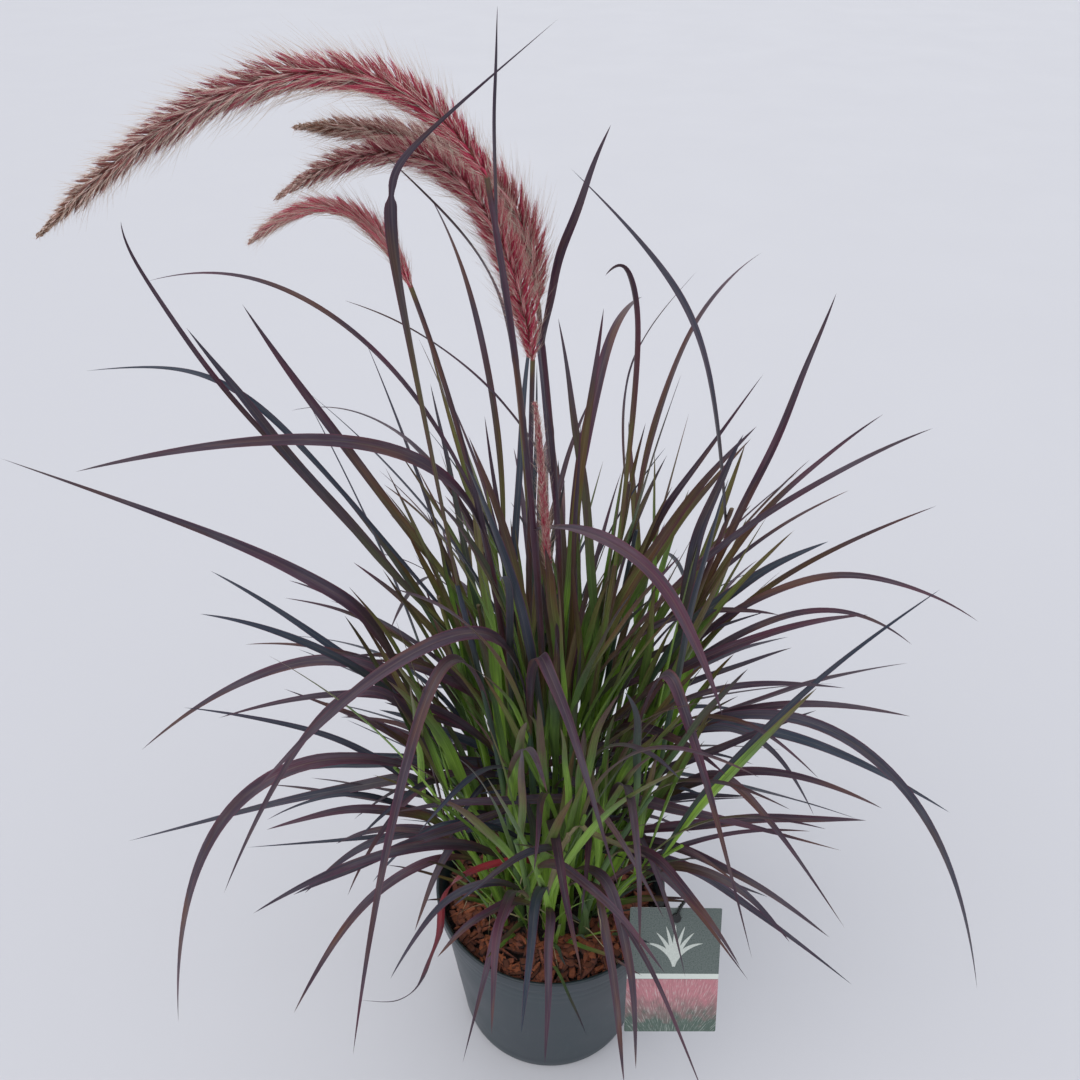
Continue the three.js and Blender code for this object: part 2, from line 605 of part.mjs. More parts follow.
/** A plastic label: a thin card with round corners and a hole for its hook. */
function labelCard() {
  const [x, y, r] = [CARD_WIDTH / 2, CARD_HEIGHT / 2, CARD_CORNER];
  const outline = new THREE.Shape();
  outline.moveTo(-x + r, -y).lineTo(x - r, -y).quadraticCurveTo(x, -y, x, -y + r);
  outline.lineTo(x, y - r).quadraticCurveTo(x, y, x - r, y).lineTo(-x + r, y);
  outline.quadraticCurveTo(-x, y, -x, y - r).lineTo(-x, -y + r).quadraticCurveTo(-x, -y, -x + r, -y);
  const hole = new THREE.Path().absarc(0, y - CARD_HOLE_DROP, CARD_HOLE_RADIUS, 0, 2 * Math.PI, true);
  outline.holes.push(hole);
  const { across, up, out, centre } = cardFrame();
  const card = new THREE.ExtrudeGeometry(outline, { depth: CARD_THICKNESS, bevelEnabled: false, curveSegments: 3 });
  return solidOf(card.applyMatrix4(new THREE.Matrix4().makeBasis(across, up, out).setPosition(centre)));
}

/** The label's hook: a clip that straddles the rim, with an arm that passes through the card to a flat head. */
function labelHook() {
  const out = heading(HOOK_BEARING);
  const side = new THREE.Vector3().crossVectors(UP, out);
  const inner = RIM_RADIUS - RIM_BAND_STEP - WALL - 1.8;
  const outer = RIM_RADIUS + 0.9;
  const [top, wall] = [POT_HEIGHT + 0.8, HOOK_WALL];
  const clip = new THREE.Shape(
    [
      [inner - wall, top + wall],
      [inner - wall, top - HOOK_INNER_LEG],
      [inner, top - HOOK_INNER_LEG],
      [inner, top],
      [outer, top],
      [outer, top - HOOK_LEG],
      [outer + wall, top - HOOK_LEG],
      [outer + wall, top + wall],
    ].map(([radius, z]) => new THREE.Vector2(radius, z)),
  );
  const strip = new THREE.ExtrudeGeometry(clip, { depth: HOOK_WIDTH, bevelEnabled: false });
  const place = new THREE.Matrix4().makeBasis(out, UP, side.clone().negate());
  place.setPosition(side.clone().multiplyScalar(HOOK_WIDTH / 2));
  const card = cardFrame();
  const eye = card.centre.clone().addScaledVector(card.up, CARD_HEIGHT / 2 - CARD_HOLE_DROP);
  const root = out.clone().multiplyScalar(outer).setZ(top + wall / 2);
  const front = eye.clone().addScaledVector(card.out, CARD_THICKNESS + 2.2);
  const back = eye.clone().addScaledVector(card.out, -9);
  const bend = [root, back.clone().lerp(root, 0.2), back.clone().lerp(front, 0.35)];
  const aims = [UP.clone().addScaledVector(card.out, 1).normalize(), card.out, card.out];
  const arm = skin([...bend, front].map((point, i) => ring(point, aims[i] ?? card.out, HOOK_RADIUS, HOOK_SIDES)));
  const head = skin(
    [CARD_THICKNESS + 0.6, CARD_THICKNESS + 2.4].map((height) =>
      ring(eye.clone().addScaledVector(card.out, height), card.out, HOOK_HEAD_RADIUS, HOOK_SIDES),
    ),
  );
  return joined([solidOf(strip.applyMatrix4(place)), solidOf(arm), solidOf(head)]);
}

/** Whether two boxes share any space. */
function boxesMeet(a, b) {
  return [0, 1, 2].every((i) => a.min[i] <= b.max[i] && b.min[i] <= a.max[i]);
}

/** Grows a leaf on its stem, bent round in small steps to one side and the other until it is clear of everything
 * that isn't its own stem. A leaf that finds no way through is left out. */
function grow(stem, leaf, placed) {
  for (let step = 0; step <= MOST_TURNS; step++) {
    const turn = TURN_STEP * Math.ceil(step / 2) * (step % 2 ? 1 : -1);
    const arc = leafArc(stem, leaf, turn);
    const sleeve = leafSolid(arc, leaf, SLEEVE);
    const box = sleeve.boundingBox();
    const blocked = placed.some(
      (other) => other.owner !== stem && boxesMeet(box, other.box) && !sleeve.intersect(other.solid).isEmpty(),
    );
    if (blocked || box.min[2] < LOWEST_LEAF) continue;
    const solid = leafSolid(arc, leaf);
    placed.push({ owner: stem, solid, box: solid.boundingBox() });
    stem.solids.push(solid);
    return true;
  }
  return false;
}

const MATERIALS = {
  pot: { color: 0x3c4a4e, roughness: 0.45 },
  growing_medium: { color: 0x2a1d16, roughness: 1 },
  bark: { color: 0x7a4225, roughness: 0.9 },
  card: { color: 0x5d6b66, roughness: 0.35 },
  hook: { color: 0x141414, roughness: 0.5 },
  leafy: { color: 0x4b2f3c, roughness: 0.5 },
  flower_stem: { color: 0x56503a, roughness: 0.5 },
  plume: { color: 0x9c4a55, roughness: 0.85 },
};

const plant = new THREE.Group();

/** Adds a named mesh of a solid to the plant. */
function add(name, solid, material) {
  const mesh = new THREE.Mesh(geometryOf(whole(solid)), new THREE.MeshStandardMaterial(MATERIALS[material]));
  mesh.name = name;
  plant.add(mesh);
}

const stems = crown();
shareOutLeadingLeaves(stems);
const still = {
  pot: pot(),
  growing_medium: growingMedium(stems),
  bark_mulch: barkMulch(),
  label_card: labelCard(),
  label_hook: labelHook(),
};
const placed = Object.values(still).map((solid) => ({ owner: null, solid, box: solid.boundingBox() }));
for (const stem of stems) {
  stem.solids = [stemSolid(stem)];
  placed.push({ owner: stem, solid: stem.solids[0], box: stem.solids[0].boundingBox() });
}
const plumes = FLOWERS.map((flower, i) => plume(flower, 31 + i));
plumes.forEach((solid) => placed.push({ owner: null, solid, box: solid.boundingBox() }));
for (const stem of stems) stem.leaves.forEach((leaf) => grow(stem, leaf, placed));
const draw = seeded(5);
for (const stem of stems) fillingLeaves(stem, draw).forEach((leaf) => grow(stem, leaf, placed));
for (const stem of stems) heartLeaves(stem, draw).forEach((leaf) => grow(stem, leaf, placed));

add("pot", still.pot, "pot");
add("growing_medium", still.growing_medium, "growing_medium");
add("bark_mulch", still.bark_mulch, "bark");
add("label_card", still.label_card, "card");
add("label_hook", still.label_hook, "hook");
let leafyCount = 0;
for (const stem of stems) {
  if (stem.flower) continue;
  leafyCount += 1;
  add(`leafy_stem_${String(leafyCount).padStart(2, "0")}`, joined(stem.solids), "leafy");
}
FLOWERS.forEach((flower, i) => {
  const stem = stems.find((each) => each.flower === flower);
  add(`flower_stem_${i + 1}`, joined(stem.solids), "flower_stem");
  add(`plume_${i + 1}`, plumes[i], "plume");
});

export default plant;
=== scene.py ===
"""Potted purple fountain grass: blades, culms, plumes, bark, pot and label finished over the packed
model.

Lengths are in metres. The origin is the centre of the pot's underside, +Z is up and the viewer stands on
the -Y side. Every blade and plume follows the arc of its solid in the frame, which is worked out from
that solid's corners.
"""

import math
from functools import cache

import bpy
import numpy as np
from bpy.props import FloatProperty, FloatVectorProperty, IntProperty, PointerProperty
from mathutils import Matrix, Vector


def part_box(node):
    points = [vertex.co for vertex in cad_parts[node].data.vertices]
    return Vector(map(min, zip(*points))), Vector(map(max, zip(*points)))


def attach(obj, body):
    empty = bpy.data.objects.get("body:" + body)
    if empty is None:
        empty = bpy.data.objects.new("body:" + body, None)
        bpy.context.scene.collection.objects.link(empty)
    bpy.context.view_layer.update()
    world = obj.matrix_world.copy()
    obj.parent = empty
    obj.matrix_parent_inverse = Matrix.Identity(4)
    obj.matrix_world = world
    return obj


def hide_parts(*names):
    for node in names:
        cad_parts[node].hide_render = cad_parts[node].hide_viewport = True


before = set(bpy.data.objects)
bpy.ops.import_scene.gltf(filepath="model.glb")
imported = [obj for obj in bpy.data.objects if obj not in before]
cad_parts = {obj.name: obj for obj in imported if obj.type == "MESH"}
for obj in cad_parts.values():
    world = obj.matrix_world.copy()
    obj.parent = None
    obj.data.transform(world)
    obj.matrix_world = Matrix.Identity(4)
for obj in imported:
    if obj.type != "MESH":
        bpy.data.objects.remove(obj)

bl_info = {
    "name": "Potted Purple Fountain Grass",
    "version": (1, 0, 0),
    "blender": (4, 5, 0),
    "location": "View3D > Sidebar > Grass",
    "description": "Finishes the blades, plumes, bark, pot and label of a potted fountain grass",
    "category": "Object",
}

MM = 0.001
GOLDEN_TURN = math.radians(137.508)

# How the solids in the frame were skinned
CULM_SIDES = 5
CULM_HOLE_DEPTH = 26 * MM
CULM_FOOT_RADIUS = 3.1 * MM
CULM_TOP_RADIUS = 1.5 * MM
LEAFY_CULM_BOW = 1.5
FLOWER_CULM_BOW = 3.0
BLADE_KEEL = 1.1 * MM
NARROWEST_RING = 0.8 * MM
WIDEST_RING = 13 * MM
RING_SLACK = 0.03 * MM
BLADE_ROOT_WIDTH = 3.4 * MM
BLADE_ROOT_MISS = 2 * MM
BLADE_FULL_WIDTH_AT = 0.3
BLADE_TAPER = 3.0
BLADE_POINT = 0.8
BLADE_ROOT_ROLL = 0.35
BLADE_SKINS = [(4, 1), (6, 1), (6, 2), (6, 3), (6, 6)]
PLUME_SPREAD = 1.1

# How a blade with a sharp bend is creased there: from what sharpness on, its sharpness, its widths before
# and after the bend as shares of the usual, its taper, and how long and how deep the pinch is
CREASE_FROM = 3
CREASE_SHARPNESS = 9
CREASED_WIDTH = (0.9, 0.5)
CREASED_TAPER = 7.0
CREASE_LENGTH = 0.05
CREASE_PINCH = 0.5

# Nodes of the frame
LEAFY_STEMS = sorted(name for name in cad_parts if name.startswith("leafy_stem_"))
FLOWER_STEMS = sorted(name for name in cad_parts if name.startswith("flower_stem_"))
PLUMES = sorted(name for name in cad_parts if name.startswith("plume_"))

# Pot
POT_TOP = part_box("pot")[1].z
RIM_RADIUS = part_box("pot")[1].x
FOOT_RADIUS = 84 * MM
POT_WALL = 2 * MM
POT_FLOOR = 2.6 * MM
DRAIN_HOLES = 6
DRAIN_RADIUS = 6 * MM
DRAIN_CIRCLE = 62 * MM
FOOT_ROUNDING = 4 * MM
RIM_ROLL = 1.6 * MM
RIM_BAND_HEIGHT = 15 * MM
RIM_BAND_STEP = 2.4 * MM
# Each ridge: the height of its middle, its width and its depth
POT_RIDGES = [
    (149 * MM, 1.6 * MM, 0.35 * MM),
    (141 * MM, 1.6 * MM, 0.35 * MM),
    (12 * MM, 2 * MM, 0.25 * MM),
]
SOIL_TOP = 150 * MM
SOIL_MOUND = 5 * MM
SOIL_GAP = 0.4 * MM
SOIL_CRUMB = 0.6 * MM
BARK_INNER_RADIUS = 66 * MM

# The camera that took the photograph, as fitted to the pot's rim and foot
CAMERA_PLACE = (-9.6 * MM, -584 * MM, 989 * MM)
CAMERA_PITCH = math.radians(53.7)
CAMERA_LENS = 34.67
CAMERA_SENSOR = 36


def linear(code):
    """A colour written as six hexadecimal digits, as linear light with full opacity."""
    shares = [int(code[i : i + 2], 16) / 255 for i in (0, 2, 4)]
    return tuple(s / 12.92 if s <= 0.04045 else ((s + 0.055) / 1.055) ** 2.4 for s in shares) + (1.0,)


def colour(name, code, description):
    """A colour property with its default written as six hexadecimal digits."""
    return FloatVectorProperty(
        name=name, description=description, subtype="COLOR", size=4, min=0, max=1, default=linear(code)
    )


def length(name, default, description):
    """A length property in metres."""
    return FloatProperty(
        name=name, description=description, default=default, min=0, unit="LENGTH", precision=5
    )


def share(name, default, description):
    """A property from 0 to 1."""
    return FloatProperty(
        name=name, description=description, default=default, min=0, max=1, subtype="FACTOR"
    )


def amount(name, default, most, description):
    """A property that counts pieces."""
    return IntProperty(name=name, description=description, default=default, min=0, max=most)


def strength(name, default, description):
    """A light's strength."""
    return FloatProperty(name=name, description=description, default=default, min=0)


class GrassPotSettings(bpy.types.PropertyGroup):
    """Sizes and colours of the pot and what fills it."""

    plastic: colour("Plastic", "1f2b34", "Wall of the pot")
    plastic_worn: colour("Worn plastic", "39464a", "Scuffs and dust on the pot")
    peat: colour("Peat", "1b120d", "Growing medium")
    bark_dark: colour("Dark bark", "120a0e", "Old sides of the bark chips")
    bark_red: colour("Red bark", "56312c", "Most of the bark")
    bark_light: colour("Light bark", "a25a38", "Fresh splits in the bark")
    chips: amount("Bark chips", 850, 1200, "How many chips lie on the pot")
    chip_length: length("Chip length", 15 * MM, "Length of a middling bark chip")


class GrassFoliageSettings(bpy.types.PropertyGroup):
    """Sizes and colours of the blades and culms."""

    fresh: colour("Fresh green", "88b03e", "Young blades and the feet of the culms")
    leaf_green: colour("Leaf green", "64843c", "Green parts of grown blades")
    olive: colour("Olive", "6d6a3c", "Where green turns to purple")
    russet: colour("Russet", "57412f", "Red-brown blades")
    purple: colour("Purple", "3f2c3c", "Ripe blades")
    # Blue-black: partly the blades' own colour and partly painted shade
    slate: colour("Slate", "28394a", "Blue-black blades")
    rust: colour("Rust", "74482a", "Rust-red stretches of a blade")
    wine: colour("Wine", "5c2a3e", "Wine-red stretches of a blade")
    # Pale blue-grey: partly a bloom and partly a painted sheen
    bloom_and_sheen: colour("Bloom", "6c6c76", "Pale bloom on ripe blades")
    scarlet: colour("Scarlet", "942430", "The one red blade")
    straw: colour("Straw", "b9ac86", "Dead blades")
    blade_thickness: length("Blade thickness", 0.45 * MM, "Thickness of a blade beside its midrib")
    channel: share("Channel", 0.24, "Depth of a blade's channel as a share of half its width")
    wave: length("Wave", 1.6 * MM, "How far a blade sways from its arc")
    inner: amount("Inner blades", 5, 9, "Upright blades on each culm")
    low: amount("Low blades", 1, 9, "Dark blades low on each culm")
    shoots: amount("Young shoots", 2, 8, "Shoots at the foot of each culm")
    strands: amount("Dry strands", 26, 80, "Thin dead blades in the crown")


class GrassPlumeSettings(bpy.types.PropertyGroup):
    """Sizes and colours of the plumes."""

    heart: colour("Heart", "6f5336", "Feet of the bristles, along the plume's middle")
    crimson: colour("Crimson", "c92d58", "Bristles of a young plume")
    rose: colour("Rose", "964651", "Bristles of a grown plume")
    tan: colour("Tan", "886650", "Bristles near the tip of a plume")
    cream: colour("Cream", "eccfc7", "Pale bristles among the tufts")
    hair: colour("Hair", "c2ae9f", "Long fine hairs")
    row_gap: length("Row gap", 0.66 * MM, "Distance along the plume from one tuft to the next")
    bristles: amount("Bristles", 15, 30, "Bristles in a tuft")
    streaks: amount("Streaks", 2, 6, "Pale bristles in a tuft")
    hairs: amount("Hairs", 6, 12, "Fine hairs beside each tuft")
    bristle_radius: length("Bristle radius", 0.23 * MM, "Radius of a bristle at its foot")
    body: share("Body", 0.64, "Reach of the tufts as a share of the plume's radius")


class GrassLabelSettings(bpy.types.PropertyGroup):
    """Colours of the label and its hook."""

    card: colour("Card", "475350", "Upper half of the card")
    card_edge: colour("Card edge", "c9ccc8", "Edge and back of the card")
    print_pale: colour("Pale print", "c6ccc6", "Motif and bars")
    picture_rose: colour("Picture rose", "aa7078", "Upper part of the picture")
    picture_green: colour("Picture green", "47574f", "Lower part of the picture")
    hook: colour("Hook", "0d0e10", "Plastic of the hook")


class GrassStudioSettings(bpy.types.PropertyGroup):
    """The stage and its light."""

    floor: colour("Floor", "c1c1c6", "Floor of the studio")
    sky: colour("Sky", "dbdfe7", "Light from all round")
    sky_strength: strength("Sky strength", 0.9, "Brightness of the sky")
    key: strength("Key light", 1.5, "Strength of the main light")
    fill: strength("Fill light", 0.55, "Strength of each of the other lights")
    softness: FloatProperty(
        name="Softness",
        description="How wide the lights look",
        default=math.radians(70),
        min=0,
        subtype="ANGLE",
    )


class Finish:
    """A procedural material: its node tree, and short ways to add to it."""

    def __init__(self, name):
        self.material = bpy.data.materials.new(name)
        self.material.use_nodes = True
        self.nodes = self.material.node_tree.nodes
        self.links = self.material.node_tree.links
        self.shader = self.nodes["Principled BSDF"]

    def feed(self, socket, value):
        """Links a socket to another, or sets its value."""
        if isinstance(value, bpy.types.NodeSocket):
            self.links.new(value, socket)
        else:
            socket.default_value = value

    def add(self, kind, inputs=(), **settings):
        """A new node with its settings and inputs."""
        node = self.nodes.new("ShaderNode" + kind)
        for name, value in settings.items():
            setattr(node, name, value)
        for name, value in dict(inputs).items():
            self.feed(node.inputs[name], value)
        return node

    def surface(self, **values):
        """Feeds the shader's own sockets."""
        for name, value in values.items():
            self.feed(self.shader.inputs[name.replace("_", " ")], value)

    def place(self):
        """The object coordinates."""
        return self.add("TexCoord").outputs["Object"]

    def uv(self):
        """The UV map."""
        return self.add("UVMap", uv_map="growth").outputs["UV"]

    def own_place(self, tone):
        """The UV map with a blade's tone as its third number, so that no two blades are patterned alike."""
        flat = self.add("SeparateXYZ", {"Vector": self.uv()}).outputs
        return self.add("CombineXYZ", {"X": flat["X"], "Y": flat["Y"], "Z": tone}).outputs["Vector"]

    def traits(self):
        """The three traits of a piece's points, as separate sockets."""
        vector = self.add("Attribute", attribute_name="traits", attribute_type="GEOMETRY").outputs["Vector"]
        return self.add("SeparateXYZ", {"Vector": vector}).outputs

    def scaled(self, vector, scale):
        """A vector stretched along its three axes."""
        return self.add("Mapping", {"Vector": vector, "Scale": scale}).outputs["Vector"]

    def noise(self, vector, scale, detail=3.0, roughness=0.55):
        """Cloudy noise from 0 to 1."""
        inputs = {"Vector": vector, "Scale": scale, "Detail": detail, "Roughness": roughness}
        return self.add("TexNoise", inputs).outputs[0]

    def cells(self, vector, scale):
        """Distance to the nearest of many scattered points."""
        return self.add("TexVoronoi", {"Vector": vector, "Scale": scale}).outputs["Distance"]

    def maths(self, operation, *values):
        """The outcome of an operation on one, two or three numbers."""
        node = self.add("Math", operation=operation)
        for socket, value in zip(node.inputs, values):
            self.feed(socket, value)
        return node.outputs[0]

    def times(self, first, second):
        """The product of two numbers."""
        return self.maths("MULTIPLY", first, second)

    def ranged(self, value, low, high, to_low=0.0, to_high=1.0):
        """A number carried from one range to another, and held there."""
        inputs = {"Value": value, "From Min": low, "From Max": high, "To Min": to_low, "To Max": to_high}
        return self.add("MapRange", inputs).outputs[0]

    def mix(self, factor, first, second, blend="MIX"):
        """Two colours mixed."""
        node = self.add("Mix", data_type="RGBA", blend_type=blend)
        for index, value in ((0, factor), (6, first), (7, second)):
            self.feed(node.inputs[index], value)
        return node.outputs[2]

    def ramp(self, value, stops):
        """A number turned into a colour, through stops of place and colour."""
        node = self.add("ValToRGB", {"Fac": value})
        elements = node.color_ramp.elements
        while len(elements) < len(stops):
            elements.new(0.5)
        for element, (place, stop) in zip(elements, stops):
            element.position = place
            element.color = stop
        return node.outputs["Color"]

    def bump(self, height, strength, distance):
        """Relief from a height, given to the shader."""
        inputs = {"Height": height, "Strength": strength, "Distance": distance}
        self.surface(Normal=self.add("Bump", inputs).outputs["Normal"])


def new_piece(name, points, polygons, finish, slot, replaces=(), uv=None, traits=None, sharp=50):
    """A mesh object of the plant: its points, its polygons as arrays of corner numbers with one array for
    each count of corners, a UV pair and three traits for each point, and edges that turn more than sharp
    degrees kept crisp."""
    mesh = bpy.data.meshes.new(name)
    flat = [block.reshape(-1, block.shape[-1]) for block in polygons if block.size]
    loops = np.concatenate([block.ravel() for block in flat]).astype(np.int32)
    sizes = np.concatenate([np.full(len(block), block.shape[1]) for block in flat])
    mesh.vertices.add(len(points))
    mesh.vertices.foreach_set("co", np.asarray(points, np.float32).ravel())
    mesh.loops.add(len(loops))
    mesh.loops.foreach_set("vertex_index", loops)
    mesh.polygons.add(len(sizes))
    mesh.polygons.foreach_set("loop_start", (np.cumsum(sizes) - sizes).astype(np.int32))
    mesh.update(calc_edges=True)
    mesh.polygons.foreach_set("use_smooth", np.ones(len(sizes), bool))
    mesh.set_sharp_from_angle(angle=math.radians(sharp))
    if uv is not None:
        mesh.uv_layers.new(name="growth").data.foreach_set("uv", uv[loops].astype(np.float32).ravel())
    if traits is not None:
        layer = mesh.attributes.new("traits", "FLOAT_VECTOR", "POINT")
        layer.data.foreach_set("vector", traits.astype(np.float32).ravel())
    mesh.materials.append(finish.material)
    piece = bpy.data.objects.new(name, mesh)
    bpy.context.scene.collection.objects.link(piece)
    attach(piece, "root")
    if replaces:
        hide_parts(*replaces)
    return piece


def ring_quads(rings, sides):
    """Corner numbers of the quads between rings of points, each joined to the next ring and closed on
    itself."""
    ring = np.arange(rings - 1)[:, None] * sides
    side = np.arange(sides)
    after = (side + 1) % sides
    return np.stack([ring + side, ring + after, ring + sides + after, ring + sides + side], -1)


def tube_polygons(items, rings, sides, pointed=True):
    """Corner numbers of many closed tubes, each of rings of points, with a flat foot and either a single
    point or a flat ring at its end: quads, feet and ends."""
    size = rings * sides + (1 if pointed else 0)
    first = (np.arange(items) * size)[:, None]
    side = np.arange(sides)
    quads = first[:, :, None, None] + ring_quads(rings, sides)
    last = first + (rings - 1) * sides
    ends = last + side
    if pointed:
        tip = np.broadcast_to(first + size - 1, (items, sides))
        ends = np.stack([ends, last + (side + 1) % sides, tip], -1)
    return [quads, first + side[::-1], ends]


def unit(vectors):
    """Vectors brought to length 1."""
    return vectors / np.maximum(np.linalg.norm(vectors, axis=-1, keepdims=True), 1e-12)


def level_way(bearing):
    """Level directions at bearings from the X axis."""
    return np.stack([np.cos(bearing), np.sin(bearing), 0 * bearing], -1)


def spokes(count, first, second):
    """Directions at equal steps of a turn, first cos(turn) + second sin(turn), for each row of first and
    second."""
    turn = (2 * np.pi * np.arange(count) / count)[:, None]
    return first[:, None] * np.cos(turn) + second[:, None] * np.sin(turn)


def arc_points(root, knee, tip, sharp, t):
    """Points of many arcs, at the same shares t for all or at a row of shares for each:
    (a root + b knee + c tip) / (a + b + c), with a = (1 - t)^2, b = 2 sharp t (1 - t) and c = t^2."""
    a = (1 - t) ** 2 + 0 * sharp[:, None]
    b = 2 * sharp[:, None] * t * (1 - t)
    c = t**2 + 0 * sharp[:, None]
    places = a[..., None] * root[:, None] + b[..., None] * knee[:, None] + c[..., None] * tip[:, None]
    return places / (a + b + c)[..., None]


def arc_sides(root, knee, tip):
    """The direction square to the plane of each arc, turned to one hand of its chord and a little towards
    level."""
    chord = tip - root
    level = unit(np.stack([-chord[:, 1], chord[:, 0], 0 * chord[:, 0]], -1))
    side = np.cross(unit(knee - root), unit(tip - knee))
    side *= np.where((side * level).sum(-1) < 0, -1, 1)[:, None]
    return unit(side + 0.15 * level)


def welded(node):
    """The corners of a solid in the frame, merged to a micrometre, and its triangles as rows of corner
    numbers."""
    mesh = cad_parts[node].data
    places = np.empty(3 * len(mesh.vertices), np.float32)
    mesh.vertices.foreach_get("co", places)
    corners = np.empty(len(mesh.loops), np.int32)
    mesh.loops.foreach_get("vertex_index", corners)
    points, same = np.unique(np.round(places.reshape(-1, 3).astype(float), 6), axis=0, return_inverse=True)
    return points, same.ravel()[corners].reshape(-1, 3)


class Culm:
    """A culm of the frame: its foot and top, which are its lowest and highest level rings of five
    corners."""

    def __init__(self, node):
        self.node = node
        self.points, self.faces = welded(node)
        _, level, count = np.unique(np.round(self.points[:, 2], 5), return_inverse=True, return_counts=True)
        rings = [self.points[level == i] for i in np.nonzero(count >= CULM_SIDES)[0]]
        rings = [ring for ring in rings if np.ptp(ring[:, :2], axis=0).max() < 2.1 * CULM_FOOT_RADIUS]
        self.foot = rings[0].mean(0)
        self.top = rings[-1].mean(0)
        self.surface = self.foot[2] + CULM_HOLE_DEPTH
        self.bow = FLOWER_CULM_BOW if node in FLOWER_STEMS else LEAFY_CULM_BOW

    def climbed(self, z):
        """The share of the culm's height above ground, 0 below it."""
        return np.clip((z - self.surface) / (self.top[2] - self.surface), 0, 1)

    def axis(self, z):
        """Points of the axis: upright in its hole, then foot + (top - foot) climbed^bow."""
        lean = self.climbed(z)[..., None] ** self.bow
        level = self.foot[:2] + (self.top[:2] - self.foot[:2]) * lean
        return np.concatenate([level, np.asarray(z)[..., None]], -1)


def blade_rings(points):
    """The rings of three corners that blades were skinned over: two on its edges and a keel, which stands
    square to the middle of the line between them at the keel's depth. Returns their middles, widths,
    directions from the keel up to the middle, and corner numbers."""
    left, right = np.triu_indices(len(points), 1)
    width = np.linalg.norm(points[left] - points[right], axis=1)
    narrow = (width > NARROWEST_RING) & (width < WIDEST_RING)
    left, right, width = left[narrow], right[narrow], width[narrow]
    middle = (points[left] + points[right]) / 2
    rise = middle[:, None] - points[None]
    depth = np.linalg.norm(rise, axis=2)
    slant = np.abs((rise * (points[right] - points[left])[:, None]).sum(2)) / width[:, None]
    pair, keel = np.nonzero((np.abs(depth - BLADE_KEEL) < RING_SLACK) & (slant < RING_SLACK))
    over = unit(rise[pair, keel])
    return middle[pair], width[pair], over, np.sort(np.stack([left[pair], right[pair], keel], 1), axis=1)


def blades_of(culm):
    """The blades on a culm. A blade's tip is a corner whose only neighbours are one ring. For each other
    ring, and each way a blade may have been skinned, the arc through the tip and both rings gives a root,
    and the true one has its root on the culm's axis. Returns rows of root, knee, tip, sharp, width and
    roll."""
    points, faces = culm.points, culm.faces
    middle, width, over, corners = blade_rings(points)
    beside = np.zeros((len(points), len(points)), bool)
    beside[faces, np.roll(faces, 1, axis=1)] = True
    beside |= beside.T
    rows = []
    for tip in np.nonzero(beside.sum(1) == 3)[0]:
        found = np.nonzero((corners == np.nonzero(beside[tip])[0]).all(1))[0]
        if not len(found):
            continue
        last, best = found[0], (BLADE_ROOT_MISS,)
        for steps, sharp in BLADE_SKINS:
            t = np.array([steps - 1, steps - 2]) / steps
            a, b, c = (1 - t) ** 2, 2 * sharp * t * (1 - t), t**2
            near = (a + b + c)[0] * middle[last] - c[0] * points[tip]
            far = (a + b + c)[1] * middle - c[1] * points[tip]
            root = (b[1] * near - b[0] * far) / (a[0] * b[1] - a[1] * b[0])
            knee = (a[0] * far - a[1] * near) / (a[0] * b[1] - a[1] * b[0])
            miss = np.linalg.norm(culm.axis(root[:, 2]) - root, axis=1)
            miss[(root[:, 2] < culm.surface) | (np.arange(len(root)) == last)] = np.inf
            ring = miss.argmin()
            if miss[ring] < best[0]:
                full = width[ring] / (1 - t[1] ** BLADE_TAPER) ** BLADE_POINT
                best = (miss[ring], root[ring], knee[ring], points[tip], sharp, full, t[0], over[last])
        if len(best) > 1:
            rows.append(best[1:])
    root, knee, tip, sharp, full, at, over = (np.array(column, float) for column in zip(*rows))
    beside = arc_points(root, knee, tip, sharp, at[:, None] + np.array([-1e-3, 1e-3]))
    along = unit(beside[:, 1] - beside[:, 0])
    flat = unit(np.cross(along, arc_sides(root, knee, tip)))
    roll = np.arctan2((np.cross(along, flat) * over).sum(-1), (flat * over).sum(-1))
    return {"root": root, "knee": knee, "tip": tip, "sharp": sharp, "width": full, "roll": roll}


def blade_width(width, t, taper=BLADE_TAPER):
    """Narrow at the root, full early on, and drawn out to nothing: opening(t) (1 - t^taper)^point."""
    opening = np.minimum(1, t / BLADE_FULL_WIDTH_AT)
    root = np.minimum(BLADE_ROOT_WIDTH, width)
    return (root + (width - root) * opening) * np.maximum(0, 1 - t**taper) ** BLADE_POINT


def swing(t, paces, count, draw):
    """A slow wave along each of many blades, of its own pace and start: sin(2 pi (pace t + start))."""
    return np.sin(2 * np.pi * (t * draw.uniform(*paces, (count, 1)) + draw.random((count, 1))))


# A blade's section, from its right edge over its upper face to its left edge and back under it: how far
# across each point lies, and how much of the blade's thickness lies above it.
SECTION_ACROSS = np.array([1, 0.7, 0.36, 0.08, -0.08, -0.36, -0.7, -1, -0.62, -0.14, 0.14, 0.62])
SECTION_UNDER = np.array([0.2, 0, 0, 0, 0, 0, 0, 0.2, 1, 1.9, 1.9, 1])


